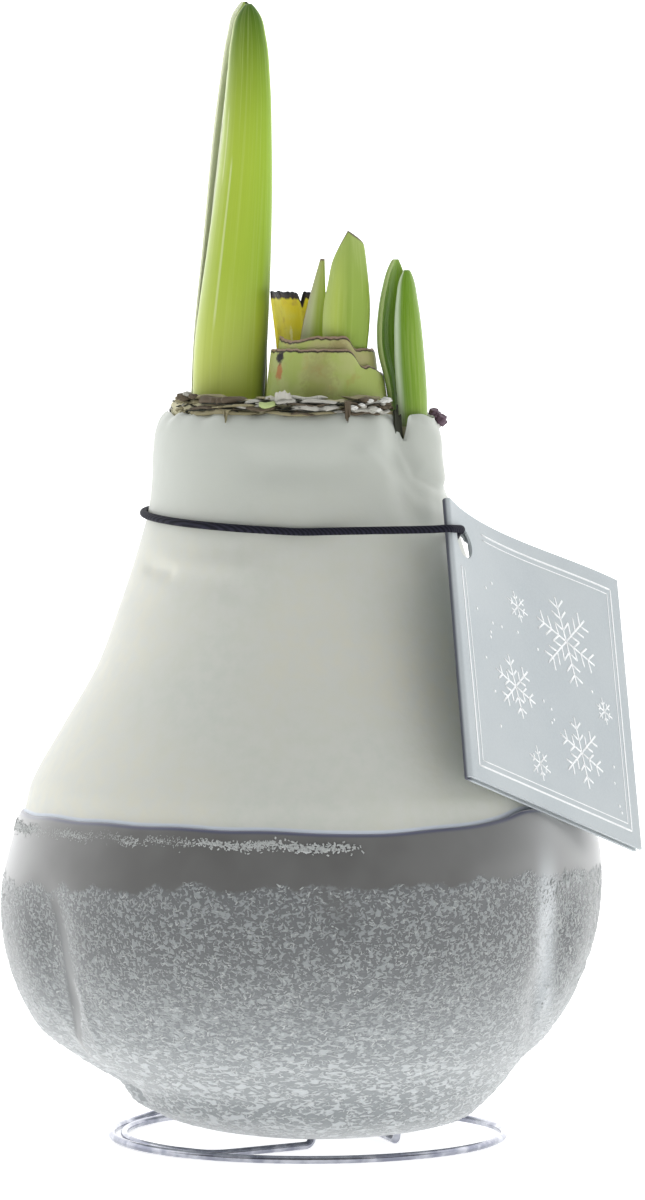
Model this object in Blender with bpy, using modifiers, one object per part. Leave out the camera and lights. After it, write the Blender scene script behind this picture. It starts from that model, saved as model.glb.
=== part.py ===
"""Amaryllis bulb dipped in two colours of wax, standing on a bent wire stand.

Leaf shoots and cut leaf bases rise from the bulb's neck. An elastic cord round the neck carries a
folded hang tag. Lengths are in metres, +Z is up, and the front of the object faces -Y. The origin
is the middle of the object's outline on the floor.
"""

import math
import random

import bmesh
import bpy
from mathutils import Matrix, Vector

MM = 0.001

# Bulb and wax
AXIS = Vector((-3.4 * MM, 0.0, 0.0))
SIDES = 48
WAX_LINE = [
    (14.9, 1.6),
    (21.3, 2.9),
    (27.8, 5.9),
    (30.5, 9.0),
    (34.4, 12.3),
    (39.7, 17.0),
    (43.6, 23.2),
    (46.2, 30.6),
    (47.1, 39.0),
    (45.9, 48.0),
    (43.0, 55.4),
    (37.4, 65.2),
    (31.9, 74.8),
    (28.3, 84.6),
    (25.2, 94.0),
    (23.2, 101.5),
    (22.2, 110.5),
]
LEAN_LINE = [
    (0.0, 2.7),
    (3.0, 2.7),
    (6.0, 1.7),
    (9.0, 2.1),
    (12.3, 0.5),
    (18.0, -0.8),
    (30.0, -0.4),
    (38.0, 0.0),
    (47.0, 0.7),
    (60.0, 0.2),
    (98.0, 0.0),
    (107.0, -0.8),
    (118.0, -0.8),
]
GROOVES = [
    (-146.0, -161.0, 2.3, 7.5),
    (-31.0, -9.0, 2.0, 7.0),
    (37.5, 30.0, 1.5, 8.0),
    (97.5, 105.0, 1.1, 7.0),
    (150.0, 142.0, 1.4, 8.0),
]
DIP_HEIGHT = 51.9 * MM
GREY_WAX = 0.75 * MM
WHITE_WAX = 2.2 * MM
FIT_GAP = 0.3 * MM
DIP_RAMP = 7.0 * MM
WAX_TOP = 114.0 * MM
NECK_TOP = 116.4 * MM
WELL_RADIUS = 17.8 * MM
WELL_FLOOR = 111.6 * MM
LEAF_FOOT = WELL_FLOOR + FIT_GAP

# Wire stand
RING_CENTRE = Vector((-2.3 * MM, 0.0, 0.0))
WIRE_RADIUS = 0.62 * MM
WIRE_SIDES = 8
WIRE_REST = WIRE_RADIUS * math.cos(math.pi / WIRE_SIDES)
PRONG_HOLE = 1.2 * MM
PRONG_LEAN = 0.25 * MM
ELBOW_RADIUS = 1.3 * MM
FRONT_PRONG = Vector((-1.6 * MM, -14.4 * MM, 0.0))
SIDE_PRONG = Vector((11.6 * MM, -9.6 * MM, 0.0))
PRONG_TOP = 22.0 * MM

# Elastic cord and hang tag
CORD_RADIUS = 0.65 * MM
CORD_HEIGHT = 97.35 * MM
CORD_TILT = Vector((-1.05 * MM, 1.35 * MM))
TAG_CORNER = Vector((18.8, -22.1, 101.0)) * MM
TAG_ACROSS = Vector((0.601, 0.739, -0.305)).normalized()
TAG_DOWN_HINT = Vector((0.064, -0.424, -0.903))
TAG_SIZE = 45.7 * MM
TAG_SHEET = 0.6 * MM
TAG_FOLD_GAP = 0.5 * MM
TAG_HOLE = Vector((4.4 * MM, 5.9 * MM))
TAG_HOLE_RADIUS = 2.5 * MM
TAG_BOW = 2.2 * MM

# Side shoot, which rises through a pocket at the neck's right front
SIDE_SHOOT = Vector((13.4, -7.4, 0.0)) * MM
SIDE_FOOT = 104.3 * MM
POCKET_RADII = (4.0 * MM, 4.0 * MM)

# Papery tunic
SCALE_COUNT = 30
SCALES_START = -50.0
SCALES_SPAN = 312.0
SCALE_SEED = 7


def clear_scene():
    for obj in list(bpy.data.objects):
        bpy.data.objects.remove(obj, do_unlink=True)


def new_collection(name):
    collection = bpy.data.collections.new(name)
    bpy.context.scene.collection.children.link(collection)
    return collection


def new_material(name, colour, roughness, metallic=0.0):
    material = bpy.data.materials.new(name)
    material.use_nodes = True
    shader = material.node_tree.nodes["Principled BSDF"]
    shader.inputs["Base Color"].default_value = (*colour, 1.0)
    shader.inputs["Roughness"].default_value = roughness
    shader.inputs["Metallic"].default_value = metallic
    return material


def smoothstep(low, high, value):
    share = min(1.0, max(0.0, (value - low) / (high - low)))
    return share * share * (3.0 - 2.0 * share)


def window(value, low, high, soft):
    """1 between low and high, falling smoothly to 0 within soft outside them."""
    return smoothstep(low - soft, low, value) * (1.0 - smoothstep(high, high + soft, value))


def bump(angle, centre, width):
    """A smooth bump round an angle; all three are in degrees."""
    away = (angle - centre + 180.0) % 360.0 - 180.0
    return math.exp(-((away / width) ** 2))


# Wax and bulb surfaces


def between(line, height):
    """The value at a height of a line of (height, value) points, straight between them."""
    for (low, first), (high, second) in zip(line, line[1:]):
        if height <= high:
            share = max(0.0, (height - low) / (high - low))
            return first + (second - first) * share
    return line[-1][1]


def relief(angle, height):
    """How far the bulb's lobes, grooves and neck stand out at an angle in degrees, in metres."""
    z = height / MM
    out = between(LEAN_LINE, z) * math.cos(math.radians(angle))
    above_foot = smoothstep(10.0, 26.0, z)
    for centre, foot_centre, depth, width in GROOVES:
        place = foot_centre + (centre - foot_centre) * above_foot
        out -= depth * bump(angle, place, width) * window(z, 10.0, 34.0, 12.0)
    neck = smoothstep(92.0, 108.0, z)
    out += neck * (1.8 * bump(angle, -22.0, 12.0) - 1.1 * bump(angle, -45.0, 7.0))
    out -= 0.6 * bump(angle, -70.0, 26.0) * window(z, 84.0, 90.0, 8.0)
    out -= 0.5 * bump(angle, -150.0, 20.0) * window(z, 86.0, 88.0, 6.0)
    return out * MM


def wax_line():
    """The outermost wax surface from the foot's flat up to the neck.

    Each point is (radius, height, level), where level is the height that sets its relief.
    """
    return [Vector((radius, height, height)) * MM for radius, height in WAX_LINE]


def moved_in(line, depth_at):
    """The line moved inwards along its own normal by depth_at(level)."""
    moved = []
    for i, point in enumerate(line):
        run = line[min(i + 1, len(line) - 1)] - line[max(i - 1, 0)]
        inwards = Vector((-run.y, run.x, 0.0)).normalized()
        moved.append(point + inwards * depth_at(point.z))
    return moved


def white_depth(height):
    """The white coat dips under the grey one and comes out to the full outline above it."""
    under = GREY_WAX + FIT_GAP
    return under * (1.0 - smoothstep(DIP_HEIGHT, DIP_HEIGHT + DIP_RAMP, height))


def on_axis(line):
    """The line with its first point also brought in to the axis."""
    return [Vector((0.0, line[0].y, line[0].z)), *line]


def rim_point(radius, height):
    """An outline point whose relief is the one at its own height."""
    return Vector((radius, height, height))


def turned(name, outline, collection, material):
    """Turns an outline of (radius, height, level) points round the bulb's axis, with its relief."""
    mesh = bpy.data.meshes.new(name + "_outline")
    edges = [(i, i + 1) for i in range(len(outline) - 1)]
    if outline[0].x > 0.0:
        edges.append((len(outline) - 1, 0))
    mesh.from_pydata([(p.x, 0.0, p.y) for p in outline], edges, [])
    profile = bpy.data.objects.new(name + "_outline", mesh)
    collection.objects.link(profile)
    screw = profile.modifiers.new("Turn", "SCREW")
    screw.steps = screw.render_steps = SIDES
    screw.use_merge_vertices = True
    screw.merge_threshold = 0.00001
    screw.use_normal_calculate = True
    bpy.context.view_layer.update()
    evaluated = profile.evaluated_get(bpy.context.evaluated_depsgraph_get())
    turned_mesh = bpy.data.meshes.new_from_object(evaluated)
    bpy.data.objects.remove(profile, do_unlink=True)
    for vertex in turned_mesh.vertices:
        radius = math.hypot(vertex.co.x, vertex.co.y)
        if radius < MM:
            continue
        point = Vector((radius, vertex.co.z))
        level = min(outline, key=lambda p: (p.xy - point).length).z
        angle = math.atan2(vertex.co.y, vertex.co.x)
        radius += relief(math.degrees(angle), level)
        vertex.co.x = radius * math.cos(angle)
        vertex.co.y = radius * math.sin(angle)
    split_quads(turned_mesh)
    obj = add_mesh(name, turned_mesh, collection, material)
    obj.location = AXIS
    return obj


def split_quads(mesh):
    """Splits each quad of a turned surface along the same diagonal, so that nested walls match."""
    bm = bmesh.new()
    bm.from_mesh(mesh)
    for face in [f for f in bm.faces if len(f.verts) == 4]:
        low, other, *rest = sorted(face.verts, key=lambda v: v.co.z)
        if rest[0].co.z - low.co.z < 0.01 * MM:
            continue
        if low.co.x * other.co.y - low.co.y * other.co.x < 0.0:
            low, other = other, low
        corners = list(face.verts)
        opposite = corners[(corners.index(low) + 2) % 4]
        bmesh.utils.face_split(face, low, opposite)
    bm.to_mesh(mesh)
    bm.free()


def add_mesh(name, mesh, collection, material, smooth_angle=40.0):
    bm = bmesh.new()
    bm.from_mesh(mesh)
    bmesh.ops.recalc_face_normals(bm, faces=bm.faces)
    bm.to_mesh(mesh)
    bm.free()
    mesh.shade_smooth()
    mesh.set_sharp_from_angle(angle=math.radians(smooth_angle))
    mesh.materials.clear()
    mesh.materials.append(material)
    mesh.name = name
    obj = bpy.data.objects.new(name, mesh)
    collection.objects.link(obj)
    return obj


def make_grey_coat(collection):
    outer = [p for p in wax_line() if p.y < DIP_HEIGHT - 1.2 * MM]
    rim_radius = 45.0 * MM
    outer.append(rim_point(rim_radius, DIP_HEIGHT - 0.4 * MM))
    inner = moved_in(outer, lambda height: GREY_WAX)
    rim = [rim_point(rim_radius - 0.35 * GREY_WAX, DIP_HEIGHT)]
    outline = on_axis(outer) + rim + on_axis(inner)[::-1]
    material = new_material("grey_wax", (0.26, 0.28, 0.30), 0.42)
    return turned("grey_wax_coat", outline, collection, material)


def make_white_coat(collection):
    line = wax_line()
    outer = moved_in(line, white_depth)
    inner = moved_in(line, lambda height: white_depth(height) + WHITE_WAX)
    neck = outer[-1].x
    rim = [
        rim_point(neck - 0.3 * MM, WAX_TOP - 1.2 * MM),
        rim_point(neck - 1.1 * MM, WAX_TOP),
        rim_point(neck - WHITE_WAX, WAX_TOP - 0.4 * MM),
    ]
    outline = on_axis(outer) + rim + on_axis(inner)[::-1]
    material = new_material("white_wax", (0.60, 0.60, 0.56), 0.45)
    return turned("white_wax_coat", outline, collection, material)


def make_bulb(collection):
    skin = moved_in(wax_line(), lambda height: white_depth(height) + WHITE_WAX + FIT_GAP)
    neck = skin[-1].x
    top = [
        rim_point(neck - 0.2 * MM, NECK_TOP - 1.0 * MM),
        rim_point(neck - 0.9 * MM, NECK_TOP),
        rim_point(WELL_RADIUS + 0.3 * MM, NECK_TOP - 0.6 * MM),
        rim_point(WELL_RADIUS, WELL_FLOOR),
        rim_point(0.0, WELL_FLOOR),
    ]
    material = new_material("bulb_flesh", (0.50, 0.47, 0.30), 0.6)
    return turned("bulb", on_axis(skin) + top, collection, material)


# Cutters


def add_cutter(name, mesh, cutters):
    obj = bpy.data.objects.new(name, mesh)
    cutters.objects.link(obj)
    obj.hide_render = True
    obj.display_type = "WIRE"
    return obj


def cylinder_mesh(name, low, high, radii, sides=16):
    """A closed elliptical cylinder between two centre points, with its radii along X and Y."""
    bm = bmesh.new()
    bmesh.ops.create_cone(
        bm, cap_ends=True, segments=sides, radius1=1.0, radius2=1.0, depth=1.0
    )
    for vertex in bm.verts:
        share = vertex.co.z + 0.5
        centre = low.lerp(high, share)
        vertex.co = centre + Vector((vertex.co.x * radii[0], vertex.co.y * radii[1], 0.0))
    mesh = bpy.data.meshes.new(name)
    bm.to_mesh(mesh)
    bm.free()
    return mesh


def make_prong_cutter(name, at, cutters):
    low = at + Vector((0.0, 0.0, -2.0 * MM))
    high = at + Vector((0.0, 0.0, PRONG_TOP + 0.5 * MM))
    radii = (PRONG_HOLE, PRONG_HOLE)
    return add_cutter(name, cylinder_mesh(name, low, high, radii, 12), cutters)


def make_pocket_cutter(cutters):
    low = SIDE_SHOOT + Vector((0.0, 0.0, SIDE_FOOT - FIT_GAP))
    high = SIDE_SHOOT + Vector((0.0, 0.0, 125.0 * MM))
    mesh = cylinder_mesh("side_pocket", low, high, POCKET_RADII, 20)
    return add_cutter("side_pocket", mesh, cutters)


def make_notch_cutter(cutters):
    """A wedge that opens the wax in a V beside the side shoot."""
    outline = [(0.0, 110.2), (1.7, 116.0), (-1.7, 116.0)]
    near_radius, length = 17.0 * MM, 12.0 * MM
    angle = math.radians(-40.0)
    outwards = Vector((math.cos(angle), math.sin(angle), 0.0))
    sideways = Vector((-outwards.y, outwards.x, 0.0))
    bm = bmesh.new()
    near = [bm.verts.new(wedge_point(p, near_radius, outwards, sideways)) for p in outline]
    face = bm.faces.new(near)
    far = bmesh.ops.extrude_face_region(bm, geom=[face])["geom"]
    moved = [item for item in far if isinstance(item, bmesh.types.BMVert)]
    bmesh.ops.translate(bm, verts=moved, vec=outwards * length)
    bmesh.ops.recalc_face_normals(bm, faces=bm.faces)
    mesh = bpy.data.meshes.new("wax_notch")
    bm.to_mesh(mesh)
    bm.free()
    return add_cutter("wax_notch", mesh, cutters)


def wedge_point(point, radius, outwards, sideways):
    return (
        AXIS
        + outwards * radius
        + sideways * point[0] * MM
        + Vector((0.0, 0.0, point[1] * MM))
    )


def cut(obj, cutter):
    modifier = obj.modifiers.new("Cut " + cutter.name, "BOOLEAN")
    modifier.operation = "DIFFERENCE"
    modifier.solver = "EXACT"
    modifier.object = cutter


# Blades: leaves and cut leaf bases


def make_blade(name, collection, material, section, rows, columns, thickness):
    """A thin curved solid from section(across, along), with across in -1..1 and along in 0..1."""
    bm = bmesh.new()
    bmesh.ops.create_grid(bm, x_segments=columns, y_segments=rows, size=1.0)
    for vertex in bm.verts:
        across, along = vertex.co.x, (vertex.co.y + 1.0) / 2.0
        vertex.co = section(across, along)
    mesh = bpy.data.meshes.new(name)
    bm.to_mesh(mesh)
    bm.free()
    obj = bpy.data.objects.new(name, mesh)
    collection.objects.link(obj)
    mesh.materials.append(material)
    mesh.shade_smooth()
    solidify = obj.modifiers.new("Thickness", "SOLIDIFY")
    solidify.thickness = thickness
    solidify.offset = 0.0
    solidify.use_even_offset = False
    return obj


def make_leaf(name, collection, material, plan, columns=8, rows=13):
    """A leaf with a bowed cross-section, bulging towards plan["facing"] in degrees round +Z.

    plan["middle"] and plan["half_width"] are lines of (share of the height, millimetres), and
    plan["arc"] is half the arc that a cross-section covers, in degrees.
    """
    facing = math.radians(plan["facing"])
    out = Vector((math.cos(facing), math.sin(facing), 0.0))
    side = Vector((-out.y, out.x, 0.0))
    half_arc = math.radians(plan["arc"])
    foot, top = plan["foot"], plan["top"] * MM
    round_top = plan.get("round_top", lambda across: 0.0)

    def section(across, along):
        share = 1.0 - (1.0 - along) ** 1.5
        upper = top - round_top(across) * MM
        turn = across * half_arc
        half_width = between(plan["half_width"], share) * MM
        lateral = half_width * math.sin(turn) / math.sin(min(half_arc, math.pi / 2))
        bulge = plan["depth"] * half_width * (math.cos(turn) - 0.4)
        middle = Vector((between(plan["middle"], share), plan["back"], 0.0)) * MM
        point = middle + side * lateral + out * bulge
        return Vector((point.x, point.y, foot + (upper - foot) * share))

    return make_blade(name, collection, material, section, rows, columns, plan["thickness"] * MM)


def make_tall_shoot(collection, leaf):
    """Three clasping leaves: one to the front, one behind it, and a flat one between them."""
    front = {
        "facing": -90.0,
        "arc": 86.0,
        "depth": 0.8,
        "back": -1.8,
        "foot": LEAF_FOOT,
        "top": 177.8,
        "thickness": 0.9,
        "middle": [(0.0, -14.3), (0.45, -12.9), (0.75, -11.8), (1.0, -11.7)],
        "half_width": [(0.0, 4.8), (0.45, 4.1), (0.8, 3.1), (0.92, 2.3), (0.975, 1.4), (1.0, 0.3)],
    }
    back = {
        "facing": 90.0,
        "arc": 86.0,
        "depth": 0.8,
        "back": 2.35,
        "foot": LEAF_FOOT,
        "top": 178.4,
        "thickness": 0.9,
        "middle": [(0.0, -15.4), (0.45, -14.1), (0.75, -12.9), (1.0, -12.3)],
        "half_width": [(0.0, 5.0), (0.45, 4.3), (0.8, 3.2), (0.92, 2.3), (0.975, 1.4), (1.0, 0.3)],
    }
    middle = {
        "facing": 90.0,
        "arc": 60.0,
        "depth": 0.08,
        "back": 0.25,
        "foot": LEAF_FOOT,
        "top": 175.0,
        "thickness": 0.8,
        "middle": [(0.0, -14.7), (0.45, -13.7), (0.75, -12.5), (1.0, -12.2)],
        "half_width": [(0.0, 4.6), (0.45, 4.1), (0.8, 3.0), (0.92, 2.2), (0.975, 1.4), (1.0, 0.3)],
    }
    make_leaf("tall_leaf_front", collection, leaf, front)
    make_leaf("tall_leaf_back", collection, leaf, back)
    make_leaf("tall_leaf_middle", collection, leaf, middle, columns=4)


def make_side_shoot(collection, leaf):
    """Two small leaves that rise from the pocket in the neck's right front."""
    outer = {
        "facing": -48.0,
        "arc": 84.0,
        "depth": 0.75,
        "back": SIDE_SHOOT.y / MM - 1.0,
        "foot": SIDE_FOOT,
        "top": 136.2,
        "thickness": 0.8,
        "middle": [(0.0, 13.9), (0.3, 14.1), (0.6, 13.5), (1.0, 13.0)],
        "half_width": [(0.0, 2.2), (0.3, 2.6), (0.6, 2.6), (0.85, 1.9), (0.95, 1.2), (1.0, 0.4)],
    }
    inner = {
        "facing": 132.0,
        "arc": 84.0,
        "depth": 0.75,
        "back": SIDE_SHOOT.y / MM + 1.0,
        "foot": SIDE_FOOT,
        "top": 137.9,
        "thickness": 0.8,
        "middle": [(0.0, 12.6), (0.45, 12.4), (0.62, 11.2), (0.8, 11.0), (1.0, 11.4)],
        "half_width": [(0.0, 1.9), (0.3, 2.0), (0.62, 2.6), (0.85, 2.1), (0.95, 1.3), (1.0, 0.4)],
    }
    make_leaf("side_leaf_outer", collection, leaf, outer, columns=6, rows=11)
    make_leaf("side_leaf_inner", collection, leaf, inner, columns=6, rows=11)


def ring_section(centre, radii, start, end, foot, top_at):
    """Section function of an upright band round an ellipse, from start to end in degrees."""

    def section(across, along):
        angle = start + (end - start) * (across + 1.0) / 2.0
        turn = math.radians(angle)
        point = centre + Vector((radii[0] * math.cos(turn), radii[1] * math.sin(turn), 0.0))
        return Vector((point.x, point.y, foot + (top_at(angle) - foot) * along))

    return section


def make_cut_leaf_bases(collection, cut_leaf, yellow_leaf):
    """The clasping leaf bases in the middle of the neck, cut off level at different heights."""
    centre = Vector((0.55, -6.6, 0.0)) * MM

    def outer_top(angle):
        right_drop = 5.2 * bump(angle, 2.0, 42.0)
        back_drop = 2.0 * bump(angle, 90.0, 50.0)
        return (124.6 - right_drop - back_drop) * MM

    def inner_top(angle):
        return (126.0 - 1.2 * bump(angle, 0.0, 40.0) - 0.8 * bump(angle, -130.0, 25.0)) * MM

    def yellow_top(angle):
        notch = 2.0 * bump(angle, 118.0, 4.0)
        return (132.2 - notch) * MM

    bands = [
        ("cut_leaf_base_outer", cut_leaf, (9.0, 6.9), (-178.0, 178.0), outer_top, 36, 0.9),
        ("cut_leaf_base_inner", cut_leaf, (7.7, 5.6), (-176.0, 76.0), inner_top, 26, 0.9),
        ("yellow_leaf_base", yellow_leaf, (7.5, 5.4), (86.0, 172.0), yellow_top, 16, 1.1),
    ]
    for name, material, radii, (start, end), top_at, columns, thickness in bands:
        size = (radii[0] * MM, radii[1] * MM)
        section = ring_section(centre, size, start, end, LEAF_FOOT, top_at)
        make_blade(name, collection, material, section, 4, columns, thickness * MM)


def make_new_leaves(collection, leaf):
    """The keeled young leaf and the pointed sliver that stand inside the cut bases."""
    young = {
        "facing": -88.0,
        "arc": 76.0,
        "depth": 0.6,
        "back": -8.4,
        "foot": LEAF_FOOT,
        "top": 142.3,
        "thickness": 0.9,
        "middle": [(0.0, 2.7), (0.5, 3.5), (1.0, 3.9)],
        "half_width": [(0.0, 2.9), (0.45, 3.4), (0.8, 3.3), (1.0, 2.4)],
        "round_top": lambda across: 2.2 * max(0.0, across) + 6.0 * max(0.0, -across),
    }
    sliver = {
        "facing": -90.0,
        "arc": 60.0,
        "depth": 0.25,
        "back": -4.6,
        "foot": LEAF_FOOT,
        "top": 138.0,
        "thickness": 0.8,
        "middle": [(0.0, -1.2), (1.0, 0.0)],
        "half_width": [(0.0, 1.2), (0.5, 1.4), (0.8, 0.9), (1.0, 0.3)],
    }
    make_leaf("young_leaf", collection, leaf, young)
    make_leaf("sliver_leaf", collection, leaf, sliver, columns=4, rows=9)


# Papery tunic round the neck's rim


def flake_mesh(name, angle, radius, low, high, width, lean):
    """A ragged upright scale that stands on the rim and leans outwards by lean."""
    thickness = 0.65 * MM
    bm = bmesh.new()
    bmesh.ops.create_cube(bm, size=1.0)
    for vertex in bm.verts:
        up = vertex.co.z + 0.5
        narrowing = 1.0 - 0.45 * up
        turn = math.radians(angle) + vertex.co.x * narrowing * width / radius
        out = radius + vertex.co.y * thickness + lean * up
        height = low + (high - low) * up * (1.0 + 0.3 * vertex.co.x)
        vertex.co = AXIS + Vector((out * math.cos(turn), out * math.sin(turn), height))
    bmesh.ops.recalc_face_normals(bm, faces=bm.faces)
    mesh = bpy.data.meshes.new(name)
    bm.to_mesh(mesh)
    bm.free()
    return mesh


def bud_mesh(name, radius, height, size):
    """One rounded lump of the dried flower bud that hangs over the wax's edge at the right."""
    turn = math.radians(-8.0)
    centre = AXIS + Vector((radius * math.cos(turn) - 0.5 * MM, radius * math.sin(turn), height))
    bm = bmesh.new()
    bmesh.ops.create_icosphere(bm, subdivisions=2, radius=size)
    bmesh.ops.translate(bm, verts=bm.verts, vec=centre)
    mesh = bpy.data.meshes.new(name)
    bm.to_mesh(mesh)
    bm.free()
    return mesh


def make_tunic(collection, pocket):
    """A low papery ring on the wax's edge, with ragged scales joined to it."""
    neck = WAX_LINE[-1][0] * MM
    low = WAX_TOP + FIT_GAP
    inner = neck - WHITE_WAX - 0.05 * MM
    outline = [
        rim_point(inner, low),
        rim_point(neck - 0.9 * MM, low),
        rim_point(neck - 0.7 * MM, low + 0.9 * MM),
        rim_point(inner + 0.1 * MM, low + 1.1 * MM),
    ]
    material = new_material("papery_tunic", (0.23, 0.17, 0.11), 0.8)
    ring = turned("neck_tunic", outline, collection, material)
    draw = random.Random(SCALE_SEED)
    scales = new_collection("tunic_scales")
    for number in range(SCALE_COUNT):
        angle = SCALES_START - number * SCALES_SPAN / (SCALE_COUNT - 1)
        radius = inner + 0.7 * MM + relief(angle, WAX_TOP)
        high = low + draw.uniform(1.8, 3.4) * MM
        width = draw.uniform(2.6, 5.2) * MM
        lean = draw.uniform(0.0, 1.0) * MM
        name = f"tunic_scale_{number:02d}"
        mesh = flake_mesh(name, angle, radius, low + 0.2 * MM, high, width, lean)
        scales.objects.link(bpy.data.objects.new(name, mesh))
    for number, (radius, height, size) in enumerate([(22.2, 115.1, 1.0), (23.5, 113.9, 1.15)]):
        mesh = bud_mesh(f"dried_bud_{number}", radius * MM, height * MM, size * MM)
        scales.objects.link(bpy.data.objects.new(mesh.name, mesh))
    join = ring.modifiers.new("Scales", "BOOLEAN")
    join.operation = "UNION"
    join.solver = "EXACT"
    join.operand_type = "COLLECTION"
    join.collection = scales
    cut(ring, pocket)
    bpy.context.view_layer.update()
    evaluated = ring.evaluated_get(bpy.context.evaluated_depsgraph_get())
    mesh = bpy.data.meshes.new_from_object(evaluated)
    ring.modifiers.clear()
    ring.data = mesh
    for scale in list(scales.objects):
        bpy.data.objects.remove(scale, do_unlink=True)
    bpy.data.collections.remove(scales)
    return ring


# Wire stand


def ring_point(turned_by, radius, height=WIRE_REST):
    """A point of the ring, turned_by degrees clockwise from where the front run meets it."""
    angle = math.radians(240.0 - turned_by)
    flat = Vector((math.cos(angle), math.sin(angle), 0.0)) * radius
    return RING_CENTRE + flat + Vector((0.0, 0.0, height))


def elbow(run_start, prong):
    """Points of the bend from a run on the floor up into a prong."""
    along = (prong - run_start).normalized()
    points = []
    for step in range(5):
        turn = math.radians(22.5 * step)
        back = ELBOW_RADIUS * (1.0 - math.sin(turn))
        up = ELBOW_RADIUS * (1.0 - math.cos(turn))
        points.append(prong - along * back + Vector((0.0, 0.0, up)))
    return [*points, prong + along * PRONG_LEAN + Vector((0.0, 0.0, PRONG_TOP - WIRE_REST))]


def rounded_corner(before, corner, after, radius, steps=5):
    """Points of a quadratic bend near a corner of the wire."""
    start = corner + (before - corner).normalized() * radius
    end = corner + (after - corner).normalized() * radius
    return [
        start.lerp(corner, k / steps).lerp(corner.lerp(end, k / steps), k / steps)
        for k in range(steps + 1)
    ]


def wire_route():
    """The wire from one prong, out to the ring, one and a half turns round, and to the other prong."""
    on_floor = Vector((0.0, 0.0, WIRE_REST))
    front_prong = FRONT_PRONG + on_floor
    side_prong = SIDE_PRONG + on_floor
    inner, outer = 28.9 * MM, 30.9 * MM
    first = ring_point(0.0, inner)
    route = elbow(first, front_prong)[::-1]
    ahead = ring_point(12.0, inner)
    route += rounded_corner(front_prong, first, ahead, 3.0 * MM)
    first_turn, last_turn, step = 15.0, 500.0, 12.5
    top = WIRE_REST + 2.0 * WIRE_RADIUS + FIT_GAP
    count = int((last_turn - first_turn) / step)
    for k in range(count + 1):
        turned_by = first_turn + k * (last_turn - first_turn) / count
        radius = inner + (outer - inner) * smoothstep(160.0, 250.0, turned_by)
        height = WIRE_REST + (top - WIRE_REST) * smoothstep(440.0, 480.0, turned_by)
        route.append(ring_point(turned_by, radius, height))
    corner = ring_point(last_turn + 14.0, outer * 1.02, top)
    inwards = (side_prong - corner).xy.normalized().to_3d()
    raised_run, whole_run = 4.6 * MM, 9.6 * MM
    past_first = corner + inwards * raised_run
    landing = corner + inwards * whole_run
    landing.z = WIRE_REST
    route += rounded_corner(route[-1], corner, past_first, 3.2 * MM)[1:]
    route += [past_first, landing]
    route += elbow(landing, side_prong)
    return route


def make_tube(name, points, radius, sides, collection, material, cyclic=False, tilt=0.0):
    curve = bpy.data.curves.new(name, "CURVE")
    curve.dimensions = "3D"
    curve.bevel_depth = radius
    curve.bevel_resolution = sides // 2 - 2
    curve.use_fill_caps = not cyclic
    curve.twist_mode = "Z_UP"
    line = curve.splines.new("POLY")
    line.points.add(len(points) - 1)
    for spline_point, point in zip(line.points, points):
        spline_point.co = (*point, 1.0)
        spline_point.tilt = tilt
    line.use_cyclic_u = cyclic
    line.use_smooth = True
    curve.materials.append(material)
    obj = bpy.data.objects.new(name, curve)
    collection.objects.link(obj)
    return obj


def make_stand(collection):
    steel = new_material("bright_steel", (0.72, 0.72, 0.70), 0.22, 1.0)
    tilt = math.pi / WIRE_SIDES
    route = wire_route()
    return make_tube(
        "wire_stand", route, WIRE_RADIUS, WIRE_SIDES, collection, steel, tilt=tilt
    )


# Elastic cord and folded tag


def tag_frame():
    """The tag's directions: across from its fold, down along the fold, and out to the viewer."""
    across = TAG_ACROSS
    down = (TAG_DOWN_HINT - across * TAG_DOWN_HINT.dot(across)).normalized()
    return across, down, down.cross(across).normalized()


def tag_hole_centre():
    across, down, _ = tag_frame()
    return TAG_CORNER + across * TAG_HOLE.x + down * TAG_HOLE.y


def make_tag(collection, cutters):
    """A square card folded along its left edge, bowed a little near the top."""
    across, down, out = tag_frame()
    spacing = TAG_SHEET + TAG_FOLD_GAP
    half = spacing / 2.0
    line = [(TAG_SIZE * share, half) for share in (1.0, 0.72, 0.46, 0.24, 0.1, 0.03)]
    for step in range(1, 4):
        turn = math.radians(45.0 * step)
        line.append((half - half * math.sin(turn), half * math.cos(turn)))
    line += [(x, -half) for x, _ in line[5::-1]]

    def section(across_share, along):
        index = (across_share + 1.0) / 2.0 * (len(line) - 1)
        reach, lift = line[round(index)]
        share = reach / TAG_SIZE
        bow = TAG_BOW * 6.75 * share * (1.0 - share) ** 2 * (1.0 - along) ** 2
        height = TAG_SIZE * along
        return TAG_CORNER + across * reach + down * height + out * (lift - bow)

    card = new_material("grey_card", (0.46, 0.49, 0.50), 0.55)
    tag = make_blade("tag_card", collection, card, section, 8, len(line) - 1, TAG_SHEET)
    turn = out.to_track_quat("Z", "Y").to_matrix().to_4x4()
    mesh = cylinder_mesh(
        "tag_hole",
        Vector((0.0, 0.0, -6.0 * MM)),
        Vector((0.0, 0.0, 6.0 * MM)),
        (TAG_HOLE_RADIUS, TAG_HOLE_RADIUS),
        24,
    )
    hole = add_cutter("tag_hole", mesh, cutters)
    hole.matrix_world = Matrix.Translation(tag_hole_centre()) @ turn
    cut(tag, hole)
    return tag


def cord_point(angle):
    """A point of the cord where it lies on the neck."""
    turn = math.radians(angle)
    height = CORD_HEIGHT + CORD_TILT.x * math.cos(turn) + CORD_TILT.y * math.sin(turn)
    line = wax_line()
    radius = between([(p.y, p.x) for p in line], height)
    radius += relief(angle, height) + CORD_RADIUS + 2.0 * FIT_GAP
    return AXIS + Vector((radius * math.cos(turn), radius * math.sin(turn), height))


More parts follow.
